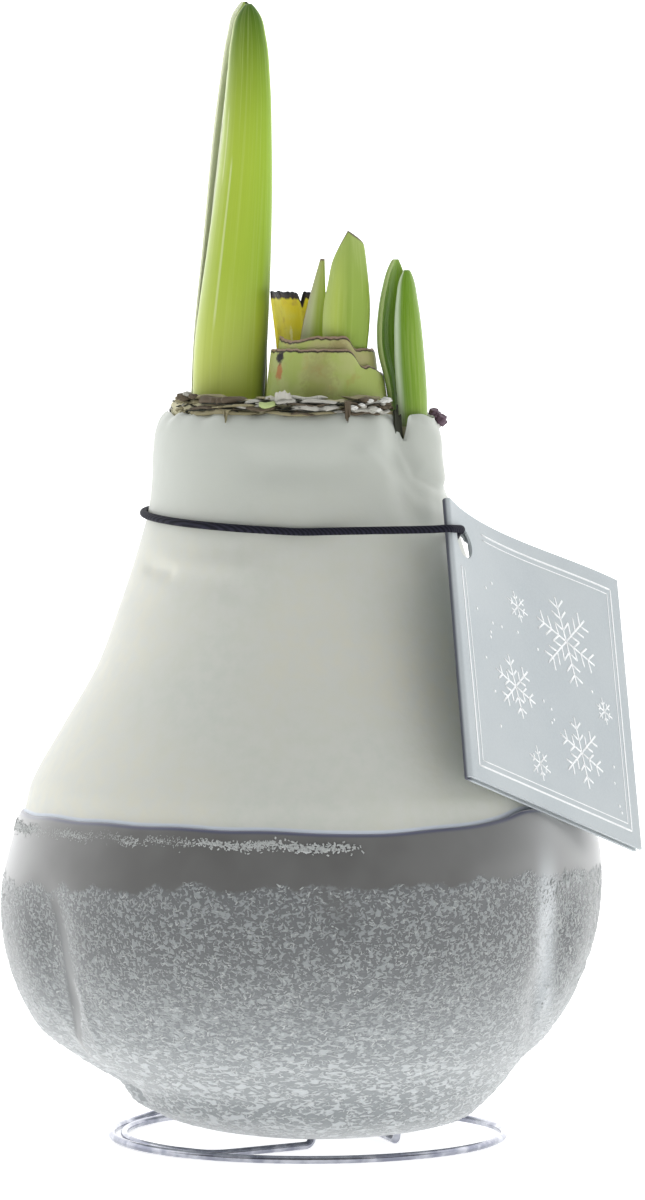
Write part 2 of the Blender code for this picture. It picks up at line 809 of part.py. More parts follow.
def make_cord(collection):
    """A closed elastic loop: round the neck, past the tag's fold and through its hole."""
    across, down, out = tag_frame()
    stack = TAG_SHEET + TAG_FOLD_GAP / 2.0
    reach = stack + CORD_RADIUS + FIT_GAP
    in_hole = tag_hole_centre() - down * (TAG_HOLE_RADIUS - CORD_RADIUS - FIT_GAP)
    past_fold = in_hole - across * (TAG_HOLE.x + 0.4 * MM) + out * reach
    on_neck = [cord_point(-84.0 - step * 9.0) for step in range(33)]
    loop = on_neck + [
        in_hole - out * (reach + 1.6 * MM) - across * 0.6 * MM,
        in_hole - out * 0.9 * MM,
        in_hole + out * 0.9 * MM,
        in_hole + out * (reach + 0.1 * MM) - across * 1.2 * MM,
        past_fold + across * 1.6 * MM + out * 0.1 * MM,
        past_fold - across * 0.5 * MM - out * 0.3 * MM,
        past_fold.lerp(on_neck[0], 0.15),
    ]
    black = new_material("black_elastic", (0.012, 0.012, 0.016), 0.75)
    return make_tube("elastic_cord", loop, CORD_RADIUS, 8, collection, black, cyclic=True)


def main():
    clear_scene()
    parts = new_collection("waxed_amaryllis_bulb")
    cutters = new_collection("cutters")
    cutters.hide_render = True
    leaf = new_material("leaf_green", (0.30, 0.45, 0.06), 0.35)
    cut_leaf = new_material("cut_leaf", (0.40, 0.45, 0.12), 0.5)
    yellow_leaf = new_material("yellow_leaf", (0.60, 0.52, 0.08), 0.4)

    grey_coat = make_grey_coat(parts)
    white_coat = make_white_coat(parts)
    bulb = make_bulb(parts)
    for name, at in (("front_prong_hole", FRONT_PRONG), ("side_prong_hole", SIDE_PRONG)):
        cutter = make_prong_cutter(name, at, cutters)
        for obj in (grey_coat, white_coat, bulb):
            cut(obj, cutter)
    pocket = make_pocket_cutter(cutters)
    for obj in (white_coat, bulb):
        cut(obj, pocket)
    cut(white_coat, make_notch_cutter(cutters))
    make_tunic(parts, pocket)
    make_tall_shoot(parts, leaf)
    make_side_shoot(parts, leaf)
    make_cut_leaf_bases(parts, cut_leaf, yellow_leaf)
    make_new_leaves(parts, leaf)
    make_stand(parts)
    make_tag(parts, cutters)
    make_cord(parts)


main()
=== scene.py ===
"""The looks of a wax-dipped amaryllis bulb on a bent wire stand, with leaf shoots and a hang tag.

Places and sizes in the tables below are in millimetres, but those of the floor, camera and lights
are in metres. The axes are the frame's: +X right, -Y front, +Z up. Angles are in degrees round the
bulb's axis, -90 at the front and 0 at the right.
"""

import math
import random

import bmesh
import bpy
import numpy as np
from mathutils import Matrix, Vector


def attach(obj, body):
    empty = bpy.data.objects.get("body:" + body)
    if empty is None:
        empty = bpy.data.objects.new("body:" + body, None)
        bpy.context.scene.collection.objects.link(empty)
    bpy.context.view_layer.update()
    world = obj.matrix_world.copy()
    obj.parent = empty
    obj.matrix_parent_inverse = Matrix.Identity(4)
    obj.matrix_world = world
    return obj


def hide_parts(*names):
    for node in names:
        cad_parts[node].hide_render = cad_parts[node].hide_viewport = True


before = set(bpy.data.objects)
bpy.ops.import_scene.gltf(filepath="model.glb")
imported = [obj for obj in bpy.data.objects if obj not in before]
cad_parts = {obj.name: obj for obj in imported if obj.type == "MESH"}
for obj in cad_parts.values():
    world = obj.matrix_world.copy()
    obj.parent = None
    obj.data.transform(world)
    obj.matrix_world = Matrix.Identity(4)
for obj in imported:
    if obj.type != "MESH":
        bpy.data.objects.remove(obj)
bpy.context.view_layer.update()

MM = 0.001
SEED = 11

# Bulb and wax
AXIS = np.array([-3.4, 0.0, 0.0])
# The wax's outline as (radius, height)
WAX_LINE = [
    (14.9, 1.6), (21.3, 2.9), (27.8, 5.9), (30.5, 9.0), (34.4, 12.3), (39.7, 17.0), (43.6, 23.2),
    (46.2, 30.6), (47.1, 39.0), (45.9, 48.0), (43.0, 55.4), (37.4, 65.2), (31.9, 74.8),
    (28.3, 84.6), (25.2, 94.0), (23.2, 101.5), (22.2, 110.5), (22.1, 113.2),
]
# (height, how far the bulb leans to the right there)
LEAN_LINE = [
    (0.0, 2.7), (3.0, 2.7), (6.0, 1.7), (9.0, 2.1), (12.3, 0.5), (18.0, -0.8), (30.0, -0.4),
    (38.0, 0.0), (47.0, 0.7), (60.0, 0.2), (98.0, 0.0), (107.0, -0.8), (118.0, -0.8),
]
# (angle above, angle at the foot, depth, width in degrees)
GROOVES = [
    (-146.0, -161.0, 2.3, 7.5), (-31.0, -9.0, 2.0, 7.0), (37.5, 30.0, 1.5, 8.0),
    (97.5, 105.0, 1.1, 7.0), (150.0, 142.0, 1.4, 8.0),
]
# The left groove's bare band as (height, angle) and (height, width in degrees)
SMOOTH_BAND = [(13.8, -151.9), (20.2, -146.6), (30.2, -142.5), (39.4, -145.0)]
SMOOTH_BAND_WIDTH = [(13.8, 3.4), (20.2, 3.9), (30.2, 3.2), (39.4, 2.0)]
DIP_HEIGHT = 51.9
# The grey wax's edge as (angle, height)
DIP_LINE = [
    (-180.0, 51.6), (-130.0, 52.1), (-100.0, 51.8), (-66.0, 51.5), (-52.0, 52.3), (-46.0, 52.8),
    (-40.0, 53.7), (-34.0, 53.6), (-30.0, 53.0), (-10.0, 52.0), (30.0, 51.7), (180.0, 51.6),
]
GREY_SKIN = 0.5
WHITE_SKIN = 2.2
SKIN_GAP = 0.12
DIP_RAMP = 4.5
WAX_TOP = 114.0
# The white wax's rounded shoulder as (inset from the neck's side, height)
SHOULDER = [(0.0, 109.8), (0.12, 110.6), (0.32, 111.4), (0.6, 112.2), (0.95, 112.9), (1.35, 113.4),
            (1.8, 113.8), (2.2, 114.0)]
NECK_TOP = 116.4
WELL_RADIUS = 17.8
WELL_FLOOR = 111.6
LEAF_FOOT = 111.9
# The white wax has close rows from this height up. Further down the grey wax hides it
CLOSE_ROWS_FROM = 46.0
# Hollow for the side shoot: angle, distance from the axis and radius
POCKET = (-23.8, 18.36, 4.0)
POCKET_FLOOR = 104.0
# Slit in the rim: angle, height of its point and half its width in degrees
NOTCH = (-39.2, 109.4, 2.6)
RING_COLUMNS = 400
ROW_STEP = 0.55
# The maps of the wax hold heights with this many millimetres to the unit
MAP_UNIT = 100.0

# Creases and ridges of the wax: front-view points (x, z), width and depth, a ridge being negative
NECK_CREASES = [
    ([(3.4, 112.2), (10.4, 106.8), (14.7, 101.4)], 1.3, 0.5),
    ([(6.8, 108.0), (11.5, 104.4), (16.2, 99.0)], 1.6, -0.45),
    ([(12.2, 110.0), (14.7, 104.5), (19.6, 101.9)], 1.0, 0.65),
    ([(-9.8, 105.9), (2.7, 105.3)], 2.6, 0.36),
    ([(-8.0, 102.6), (1.0, 102.2)], 2.4, -0.15),
    ([(-26.8, 90.0), (-24.0, 89.6)], 1.0, 0.5),
    ([(-24.0, 93.8), (-20.0, 92.4), (-10.0, 93.4)], 2.4, 0.28),
    ([(-26.0, 91.0), (-21.0, 88.5), (-13.0, 87.9)], 2.2, 0.28),
    ([(-24.0, 91.4), (-14.0, 90.6)], 1.6, -0.16),
    ([(-12.0, 112.5), (3.0, 113.2)], 1.2, 0.35),
]
GREY_CREASES = [
    ([(-40.6, 22.4), (-37.4, 17.6), (-34.5, 13.4)], 0.8, -0.35),
    ([(-37.4, 28.0), (-35.6, 21.8), (-33.7, 15.4)], 0.5, -0.3),
    ([(34.4, 26.0), (33.2, 21.2), (31.9, 16.5)], 0.55, -0.45),
    ([(36.2, 35.0), (38.4, 29.0), (40.6, 24.5)], 0.6, 0.3),
    ([(37.6, 37.0), (40.4, 31.0), (42.4, 26.5)], 0.5, 0.25),
]

# Leaves: "middle" and "half_width" hold (share of the height, millimetres), "facing" and "arc" are
# degrees, "depth" is how hollow the leaf is, "back" is its place from front to back, and
# "round_top" is how much lower its top is at the left and at the right
LEAVES = {
    "tall_leaf_front": {
        "facing": -90.0, "arc": 86.0, "depth": 0.8, "back": -1.8, "foot": LEAF_FOOT, "top": 177.8,
        "thickness": 0.9,
        "middle": [(0.0, -14.9), (0.18, -14.4), (0.42, -13.1), (0.66, -11.9), (0.82, -11.5),
                   (1.0, -11.5)],
        "half_width": [(0.0, 5.3), (0.18, 5.5), (0.42, 4.8), (0.66, 3.8), (0.82, 3.2),
                       (0.92, 2.5), (0.975, 1.5), (1.0, 0.3)],
    },
    "tall_leaf_back": {
        "facing": 90.0, "arc": 86.0, "depth": 0.8, "back": 2.35, "foot": LEAF_FOOT, "top": 178.4,
        "thickness": 0.9,
        "middle": [(0.0, -14.7), (0.2, -14.5), (0.45, -14.0), (0.75, -12.9), (1.0, -12.3)],
        "half_width": [(0.0, 5.9), (0.2, 5.6), (0.45, 4.5), (0.8, 3.3), (0.92, 2.3), (0.975, 1.4),
                       (1.0, 0.3)],
    },
    "tall_leaf_middle": {
        "facing": 90.0, "arc": 60.0, "depth": 0.08, "back": 0.25, "foot": LEAF_FOOT, "top": 175.0,
        "thickness": 0.8,
        "middle": [(0.0, -14.7), (0.45, -13.7), (0.75, -12.5), (1.0, -12.2)],
        "half_width": [(0.0, 4.6), (0.45, 4.1), (0.8, 3.0), (0.92, 2.2), (0.975, 1.4), (1.0, 0.3)],
    },
    "side_leaf_outer": {
        "facing": -48.0, "arc": 84.0, "depth": 0.75, "back": -8.4, "foot": 104.3, "top": 136.2,
        "thickness": 0.8,
        "middle": [(0.0, 13.9), (0.3, 14.1), (0.6, 13.5), (1.0, 13.0)],
        "half_width": [(0.0, 2.2), (0.3, 2.6), (0.6, 2.6), (0.85, 1.9), (0.95, 1.2), (1.0, 0.4)],
    },
    "side_leaf_inner": {
        "facing": 132.0, "arc": 84.0, "depth": 0.75, "back": -6.4, "foot": 104.3, "top": 137.9,
        "thickness": 0.8,
        "middle": [(0.0, 12.3), (0.42, 12.1), (0.6, 10.9), (0.8, 10.9), (1.0, 11.4)],
        "half_width": [(0.0, 2.4), (0.3, 2.5), (0.6, 2.8), (0.85, 2.2), (0.95, 1.3), (1.0, 0.4)],
    },
    "young_leaf": {
        "facing": -88.0, "arc": 76.0, "depth": 0.6, "back": -8.4, "foot": LEAF_FOOT, "top": 142.3,
        "thickness": 0.9, "round_top": (6.0, 2.2),
        "middle": [(0.0, 2.7), (0.5, 3.5), (1.0, 3.9)],
        "half_width": [(0.0, 2.9), (0.45, 3.4), (0.8, 3.3), (1.0, 2.4)],
    },
    "sliver_leaf": {
        "facing": -90.0, "arc": 60.0, "depth": 0.25, "back": -4.6, "foot": LEAF_FOOT, "top": 138.0,
        "thickness": 0.8,
        "middle": [(0.0, -1.6), (0.5, -1.5), (0.8, -0.7), (1.0, 0.0)],
        "half_width": [(0.0, 1.6), (0.5, 2.0), (0.8, 1.1), (1.0, 0.3)],
    },
}
LEAF_ROWS = 120
LEAF_COLUMNS = 29
BASE_CENTRE = (0.55, -6.6)
BASE_ROWS = 44

# Colours of the leaves, from one side ("across") to the other, and over them at the tip and foot
LEAF_LOOKS = {
    # Pale left margin (0 to 0.1 across) and pale lines: painted highlights; dark side: painted shade
    "tall_front": {
        "across": [(0.0, (0.74, 0.80, 0.52)), (0.10, (0.54, 0.63, 0.27)), (0.2, (0.43, 0.53, 0.12)),
                   (0.34, (0.38, 0.50, 0.05)), (0.55, (0.38, 0.52, 0.045)),
                   (0.92, (0.28, 0.45, 0.02)), (0.97, (0.42, 0.55, 0.12)),
                   (1.0, (0.55, 0.66, 0.35))],
        "tip": (0.02, 0.085, 0.002), "foot": (0.60, 0.66, 0.15),
        "painted_shade_side": (0.72, 0.92, (0.018, 0.034, 0.004)),
        "painted_highlight_lines": ((0.13, 0.5, 0.86), (0.22, 0.42, 0.62), (0.33, 0.15, 0.5)),
    },
    # Dark right edge (0 to 0.2 across): painted shade; pale left edge (0.78 to 1): painted light
    "tall_back": {
        "across": [(0.0, (0.03, 0.05, 0.008)), (0.2, (0.10, 0.16, 0.02)), (0.4, (0.36, 0.48, 0.07)),
                   (0.6, (0.40, 0.52, 0.08)), (0.78, (0.80, 0.86, 0.55)),
                   (1.0, (0.90, 0.93, 0.72))],
        "tip": (0.34, 0.46, 0.10), "foot": (0.62, 0.68, 0.36),
    },
    # Pale left edge (0 to 0.1 across): painted highlight; pale right edge: painted rim light
    "side_outer": {
        "across": [(0.0, (0.50, 0.62, 0.42)), (0.1, (0.55, 0.66, 0.46)), (0.2, (0.13, 0.25, 0.015)),
                   (0.55, (0.20, 0.33, 0.03)), (0.8, (0.19, 0.33, 0.02)),
                   (1.0, (0.44, 0.54, 0.26))],
        "tip": (0.14, 0.27, 0.02), "foot": (0.32, 0.40, 0.07), "veins": 16.0, "rough": 0.26,
    },
    # A darker copy: painted shade on the hollow face behind the outer leaf; pale left edge: painted
    # highlight
    "side_inner": {
        "across": [(0.0, (0.18, 0.30, 0.03)), (0.6, (0.12, 0.24, 0.02)),
                   (0.85, (0.16, 0.30, 0.03)), (1.0, (0.40, 0.50, 0.20))],
        "tip": (0.20, 0.34, 0.04), "foot": (0.10, 0.18, 0.02), "veins": 16.0, "rough": 0.26,
    },
    # Lighter left half: painted light on the side facing the light; near-black right edge: painted
    # shadow outline
    "young_leaf": {
        "across": [(0.0, (0.46, 0.54, 0.20)), (0.34, (0.42, 0.52, 0.09)),
                   (0.52, (0.27, 0.38, 0.05)), (0.6, (0.29, 0.41, 0.06)),
                   (0.93, (0.26, 0.38, 0.05)), (0.97, (0.02, 0.022, 0.02)),
                   (1.0, (0.015, 0.015, 0.02))],
        "tip": (0.34, 0.44, 0.12), "foot": (0.40, 0.50, 0.10), "veins": 14.0,
        "dry_tip": (0.16, 0.13, 0.10),
    },
    "sliver_leaf": {
        "across": [(0.0, (0.16, 0.10, 0.05)), (0.06, (0.50, 0.50, 0.34)),
                   (0.35, (0.58, 0.62, 0.34)), (0.55, (0.42, 0.50, 0.10)),
                   (1.0, (0.30, 0.40, 0.05))],
        "tip": (0.40, 0.46, 0.14), "foot": (0.50, 0.56, 0.20), "veins": 8.0,
        "dry_tip": (0.20, 0.14, 0.10),
    },
}
LOOK_OF_LEAF = {
    "tall_leaf_front": "tall_front", "tall_leaf_back": "tall_back",
    "tall_leaf_middle": "tall_back", "side_leaf_outer": "side_outer",
    "side_leaf_inner": "side_inner", "young_leaf": "young_leaf", "sliver_leaf": "sliver_leaf",
}
# Colours of the cut bases: see cut_base_material
CUT_RIM = (0.30, 0.21, 0.14)
CUT_GREEN = (0.36, 0.46, 0.09)
CUT_BROWN = (0.24, 0.17, 0.07)
BASE_LOOKS = {
    "cut_base_outer": {
        "body": (0.46, 0.52, 0.18), "top": (0.43, 0.47, 0.17), "rim": CUT_RIM, "rim_start": 0.96,
        "marks": [(0.228, 0.55, 0.05, 0.5, CUT_BROWN, 0.35),
                  (0.101, 0.70, 0.016, 0.13, (0.46, 0.12, 0.03), 0.8),
                  (0.097, 0.90, 0.018, 0.10, (0.012, 0.008, 0.01), 1.0)],
        "tint": CUT_GREEN,
    },
    "cut_base_inner": {
        "body": (0.34, 0.42, 0.10), "top": (0.42, 0.40, 0.18), "rim": CUT_RIM, "rim_start": 0.965,
        "marks": [(0.4, 0.85, 0.05, 0.12, CUT_BROWN, 0.5)], "tint": CUT_GREEN,
    },
    "yellow_base": {
        "body": (0.68, 0.60, 0.02), "top": (0.74, 0.62, 0.03), "rim": (0.004, 0.003, 0.004),
        "rim_start": 0.953,
        "marks": [(0.2, 0.6, 0.16, 0.3, (0.50, 0.24, 0.03), 0.8),
                  (0.6, 0.5, 0.04, 0.3, (0.85, 0.80, 0.35), 0.8)],
        "tint": (0.70, 0.66, 0.10), "mottled": 0.5,
    },
}

# Dry tunic: its tones, each with a name, a dark colour, a light colour and a roughness. The last
# tone is painted shade: near-black sheets where the gaps between layers and the slit lie in shade
DARK, OLIVE, PAPER, WAX_BIT, BUD, GREEN, PAINTED_SHADE = range(7)
TUNIC_LOOKS = [
    ("tunic_dark", (0.015, 0.010, 0.006), (0.10, 0.075, 0.045), 0.75),
    ("tunic_olive", (0.05, 0.042, 0.02), (0.26, 0.23, 0.13), 0.75),
    ("tunic_paper", (0.14, 0.135, 0.12), (0.44, 0.43, 0.38), 0.75),
    ("wax_crumbs", (0.40, 0.40, 0.38), (0.66, 0.66, 0.62), 0.75),
    ("dried_bud", (0.012, 0.008, 0.012), (0.10, 0.05, 0.08), 0.4),
    ("tunic_green", (0.16, 0.22, 0.06), (0.40, 0.48, 0.20), 0.75),
    ("tunic_shadow", (0.006, 0.008, 0.003), (0.02, 0.022, 0.010), 0.75),
]
TUNIC_RADIUS = WAX_LINE[-1][0] - 0.9
TUNIC_FOOT = 113.9
SCRAP_REACH = 3.2
# Scraps of the front: tone, angle, span in degrees, low, high, how far past the rim, droop
FRONT_SCRAPS = [
    (OLIVE, -129.0, 44.0, 113.9, 114.6, 0.35, 0.15),
    (DARK, -131.0, 40.0, 114.5, 115.1, 0.15, 0.1),
    (OLIVE, -120.0, 28.0, 114.9, 115.3, 0.3, 0.0),
    (DARK, -129.0, 27.0, 115.4, 116.5, 0.25, 0.0),
    (OLIVE, -140.0, 20.0, 116.4, 116.8, -0.2, 0.0),
    (GREEN, -104.0, 9.0, 115.0, 115.9, 0.4, 0.1),
    (PAPER, -96.0, 11.0, 115.6, 116.2, 0.1, 0.1),
    (PAPER, -84.0, 24.0, 114.5, 115.3, 0.3, 0.1),
    (DARK, -86.0, 22.0, 115.2, 115.5, 0.25, 0.05),
    (PAPER, -82.0, 20.0, 115.5, 116.1, 0.05, 0.05),
    (OLIVE, -90.0, 34.0, 113.8, 114.4, 0.1, 0.1),
    (PAPER, -60.0, 16.0, 114.3, 114.9, 0.2, 0.2),
    (DARK, -59.0, 17.0, 115.0, 115.3, 0.0, 0.0),
    (PAPER, -56.0, 18.0, 115.5, 116.0, -0.2, 0.1),
    (DARK, -48.0, 9.0, 114.6, 115.4, 0.2, 0.1),
    (OLIVE, -43.5, 8.0, 113.9, 114.6, 0.1, 0.1),
    (DARK, -42.5, 7.0, 114.7, 115.3, -0.1, 0.1),
    # The thin near-black scraps below are painted shade in the gaps between the layers
    (PAINTED_SHADE, -130.0, 46.0, 114.55, 114.75, 0.3, 0.1),
    (PAINTED_SHADE, -124.0, 34.0, 115.25, 115.45, 0.3, 0.0),
    (PAINTED_SHADE, -88.0, 30.0, 114.35, 114.5, 0.3, 0.1),
    (PAINTED_SHADE, -79.0, 24.0, 115.35, 115.55, 0.25, 0.1),
]
# Loose flakes that stand or hang at the rim: see flake
LOOSE_FLAKES = [
    # The first, near-black flake fills the slit in the rim with painted shade
    (PAINTED_SHADE, dict(angle=-39.6, span=7.0, past=0.7, low=107.8, high=115.2, lean=-0.5)),
    (PAPER, dict(angle=-97.0, span=8.0, past=-0.6, low=115.6, high=117.7, lean=0.9)),
    (DARK, dict(angle=-70.0, span=2.6, past=0.45, low=115.9, high=112.6, lean=0.2)),
    (OLIVE, dict(angle=-121.5, span=5.5, past=0.45, low=114.6, high=112.7, lean=0.35, point=0.9)),
]
# Crumbs at the left of the rim: angle, height, size, tone
LEFT_CRUMBS = [(-151.0, 116.5, 0.8, DARK), (-148.0, 117.0, 0.45, PAPER),
               (-154.5, 116.0, 0.6, OLIVE), (-143.0, 116.6, 0.5, DARK)]
# Lumps of the dried bud: distance from the axis, height, size, tone
BUD_ANGLE = -8.0
BUD_LUMPS = [(21.0, 114.0, 0.8, BUD), (22.1, 112.9, 1.0, BUD), (21.5, 113.6, 0.8, BUD),
             (21.2, 112.2, 0.9, WAX_BIT)]

# Wire stand
RING_CENTRE = np.array([-2.3, 0.0, 0.0])
WIRE_RADIUS = 0.62
PRONG_LEAN = 0.25
ELBOW_RADIUS = 1.3
FRONT_PRONG = np.array([-1.6, -14.4, 0.0])
SIDE_PRONG = np.array([11.6, -9.6, 0.0])
PRONG_TOP = 21.9
RING_RADII = (28.9, 30.9)
RING_START = 240.0
WIRE_SIDES = 16

# Elastic cord and hang tag
CORD_RADIUS = 0.6
CORD_HEIGHT = 97.35
CORD_TILT = (-1.05, 1.35)
TAG_CORNER = np.array([18.8, -22.1, 101.0])
TAG_ACROSS = np.array([0.601, 0.739, -0.305])
TAG_DOWN_HINT = np.array([0.064, -0.424, -0.903])
TAG_SIZE = 45.7
TAG_SHEET = 0.6
CARD_THICKNESS = 0.42
TAG_FOLD_GAP = 0.5
TAG_HOLE = (4.4, 5.9)
TAG_HOLE_RADIUS = 2.5
REAR_HOLE_SHIFT = 0.9
HOLE_SLACK = 0.05
TAG_BOW = 2.2

# Floor, camera and light, in metres and watts
FLOOR_REACH = 12.0
FLOOR_LEVEL = -0.0002
CAMERA_AIM = Vector((0.0, 0.0, 0.0846))
CAMERA_DISTANCE = 0.870
CAMERA_ELEVATION = 2.3
CAMERA_LENS = 166.2
STUDIO_LIGHT = 1.25
LIGHT_AIM = (0.0, 0.0, 0.08)
# Soft lights: place, width and height, power
LIGHTS = {
    "soft_left": ((-0.55, -0.55, 0.45), (0.35, 0.5), 0.2),
    "soft_right": ((0.55, -0.55, 0.45), (0.35, 0.5), 0.25),
    "soft_top": ((0.1, -0.1, 0.8), (0.6, 0.6), 0.6),
}


# Numbers and curves


def smoothstep(low, high, value):
    """0 at low and 1 at high, with a smooth run between them."""
    share = np.clip((np.asarray(value, float) - low) / (high - low), 0.0, 1.0)
    return share * share * (3.0 - 2.0 * share)


def window(value, low, high, soft):
    """1 between low and high, falling smoothly to 0 within soft outside them."""
    return smoothstep(low - soft, low, value) * (1.0 - smoothstep(high, high + soft, value))


def away_from(angle, centre):
    """Degrees from the centre round to the angle, between -180 and 180."""
    return (np.asarray(angle) - centre + 180.0) % 360.0 - 180.0


def bump(angle, centre, width):
    """1 at the centre angle, falling away over width degrees."""
    return np.exp(-((away_from(angle, centre) / width) ** 2))


def all_round(columns):
    """Angles all the way round, in degrees."""
    return np.linspace(-180.0, 180.0, columns, endpoint=False)


def round_axis(radius, angle, height):
    """Points at a radius from the bulb's axis, an angle round it and a height."""
    turn = np.radians(angle)
    x = AXIS[0] + radius * np.cos(turn)
    y = AXIS[1] + radius * np.sin(turn)
    return np.stack(np.broadcast_arrays(x, y, height), -1)


def off_axis(points):
    """How far points lie from the bulb's axis."""
    return np.hypot(points[:, 0] - AXIS[0], points[:, 1] - AXIS[1])


def straight(line, at):
    """Straight lines through (place, value) points."""
    places, values = np.array(line, float).T
    return np.interp(at, places, values)


def smooth(line, at):
    """A smooth curve through (place, value) points."""
    places, values = np.array(line, float).T
    slopes = np.gradient(values, places)
    at = np.clip(at, places[0], places[-1])
    left = np.clip(np.searchsorted(places, at) - 1, 0, len(places) - 2)
    width = places[left + 1] - places[left]
    t = (at - places[left]) / width
    return (
        values[left] * (2 * t**3 - 3 * t**2 + 1)
        + slopes[left] * width * (t**3 - 2 * t**2 + t)
        + values[left + 1] * (3 * t**2 - 2 * t**3)
        + slopes[left + 1] * width * (t**3 - t**2)
    )


def waves(seed, count, low, high):
    """Seeded smooth noise round the bulb: a function of the angle in degrees, about -1 to 1."""
    draw = random.Random(seed)
    terms = [(draw.randint(low, high), draw.uniform(0.0, 2.0 * math.pi)) for _ in range(count)]

    def value(angle):
        turn = np.radians(angle)
        return sum(np.sin(turn * k + phase) for k, phase in terms) / math.sqrt(count / 2.0) / 1.6

    return value


# Meshes


def grid_faces(rows, columns, wrap_columns=False, wrap_rows=False):
    """Four-cornered faces between the points of a grid."""
    row = np.arange(rows if wrap_rows else rows - 1)[:, None]
    column = np.arange(columns if wrap_columns else columns - 1)[None, :]
    next_row, next_column = (row + 1) % rows, (column + 1) % columns
    corners = [row * columns + column, row * columns + next_column,
               next_row * columns + next_column, next_row * columns + column]
    return np.stack([np.broadcast_to(c, corners[2].shape).ravel() for c in corners], 1)


def closed_rings(layers):
    """Points and faces of a closed solid of rings, capped at its first and last one."""
    points = np.concatenate(layers)
    count, columns = points.shape[:2]
    faces = grid_faces(count, columns, wrap_columns=True).tolist()
    faces += [list(range(columns)), list(range((count - 1) * columns, count * columns))]
    return points, faces


def thin_solid_faces(rows, columns):
    """Faces of a thin solid whose two sides are grids, one after the other."""
    side = grid_faces(rows, columns)
    count = rows * columns
    faces = np.concatenate([side, side[:, ::-1] + count]).tolist()
    border = [(0, c) for c in range(columns)] + [(r, columns - 1) for r in range(1, rows)]
    border += [(rows - 1, c) for c in range(columns - 2, -1, -1)]
    border += [(r, 0) for r in range(rows - 2, 0, -1)]
    index = [r * columns + c for r, c in border]
    for here, ahead in zip(index, index[1:] + index[:1]):
        faces.append([here, ahead, ahead + count, here + count])
    return faces


def joined(shapes):
    """The points and faces of many shapes as one mesh."""
    points, faces, start = [], [], 0
    for shape_points, shape_faces in shapes:
        points.append(shape_points)
        faces += [[start + corner for corner in face] for face in shape_faces]
        start += len(shape_points)
    return np.concatenate(points), faces


def add_piece(name, points, faces, materials, slot, nodes=(), uv=None, crease=None, tones=None):
    """A mesh piece from points in millimetres; it rides on the root body and stands for nodes."""
    mesh = bpy.data.meshes.new(name)
    places = np.asarray(points, float).reshape(-1, 3) * MM
    mesh.from_pydata(places.tolist(), [], [list(face) for face in faces])
    for material in materials:
        mesh.materials.append(material)
    if tones is not None:
        mesh.polygons.foreach_set("material_index", np.asarray(tones, np.int32))
    if uv is not None:
        layer = mesh.uv_layers.new(name="across_along")
        corner = np.zeros(len(mesh.loops), np.int32)
        mesh.loops.foreach_get("vertex_index", corner)
        layer.data.foreach_set("uv", np.asarray(uv, np.float32).reshape(-1, 2)[corner].ravel())
    bm = bmesh.new()
    bm.from_mesh(mesh)
    bmesh.ops.recalc_face_normals(bm, faces=bm.faces)
    bm.to_mesh(mesh)
    bm.free()
    mesh.shade_smooth()
    if crease is not None:
        mesh.set_sharp_from_angle(angle=math.radians(crease))
    obj = bpy.data.objects.new(name, mesh)
    bpy.context.scene.collection.objects.link(obj)
    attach(obj, "root")
    if nodes:
        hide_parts(*nodes)
    return obj


def tube(route, radius, sides, closed=False):
    """Points and faces of a round tube along a route, with its section kept from twisting."""
    route = np.asarray(route, float)
    count = len(route)
    if closed:
        ahead = np.roll(route, -1, 0) - np.roll(route, 1, 0)
    else:
        ahead = np.gradient(route, axis=0)
    ahead /= np.linalg.norm(ahead, axis=1)[:, None]
    side = np.zeros_like(route)
    start = np.cross(ahead[0], [0.0, 0.0, 1.0] if abs(ahead[0][2]) < 0.9 else [1.0, 0.0, 0.0])
    side[0] = start / np.linalg.norm(start)
    for i in range(1, count):
        carried = side[i - 1] - ahead[i] * side[i - 1].dot(ahead[i])
        side[i] = carried / np.linalg.norm(carried)
    up = np.cross(ahead, side)
    turn = np.linspace(0.0, 2.0 * math.pi, sides, endpoint=False)
    radius = np.broadcast_to(np.asarray(radius, float), (count,))
    ring = side[:, None] * np.cos(turn)[None, :, None] + up[:, None] * np.sin(turn)[None, :, None]
    points = route[:, None] + ring * radius[:, None, None]
    faces = grid_faces(count, sides, wrap_columns=True, wrap_rows=closed).tolist()
    if not closed:
        faces += [list(range(sides))[::-1], list(range((count - 1) * sides, count * sides))]
    return points.reshape(-1, 3), faces


# Materials


def put(tree, kind, inputs=None, **settings):
    """Adds a shader node. Each input is a plain value or another node's output."""
    node = tree.nodes.new("ShaderNode" + kind)
    for key, value in settings.items():
        setattr(node, key, value)
    for key, value in (inputs or {}).items():
        if isinstance(value, bpy.types.NodeSocket):
            tree.links.new(value, node.inputs[key])
        else:
            node.inputs[key].default_value = value
    return node


def new_material(name, roughness, **shader_inputs):
    """A new material with its tree and its shader. Inputs are named with _ for a space."""
    material = bpy.data.materials.new(name)
    material.use_nodes = True
    shader = material.node_tree.nodes["Principled BSDF"]
    shader.inputs["Roughness"].default_value = roughness
    for key, value in shader_inputs.items():
        shader.inputs[key.replace("_", " ")].default_value = value
    return material, material.node_tree, shader


def place(tree, stretch=(1.0, 1.0, 1.0)):
    """The place on the object in millimetres, stretched along each axis."""
    at = put(tree, "TexCoord").outputs["Object"]
    scale = tuple(1000.0 * share for share in stretch)
    return put(tree, "Mapping", {"Vector": at, "Scale": scale}).outputs["Vector"]


def noise(tree, at, size, detail=2.0, roughness=0.5, distortion=0.0):
    """Noise of about the given size, in the units of the place it is read at."""
    inputs = {"Vector": at, "Scale": 1.0 / size, "Detail": detail, "Roughness": roughness,
              "Distortion": distortion}
    return put(tree, "TexNoise", inputs).outputs[0]


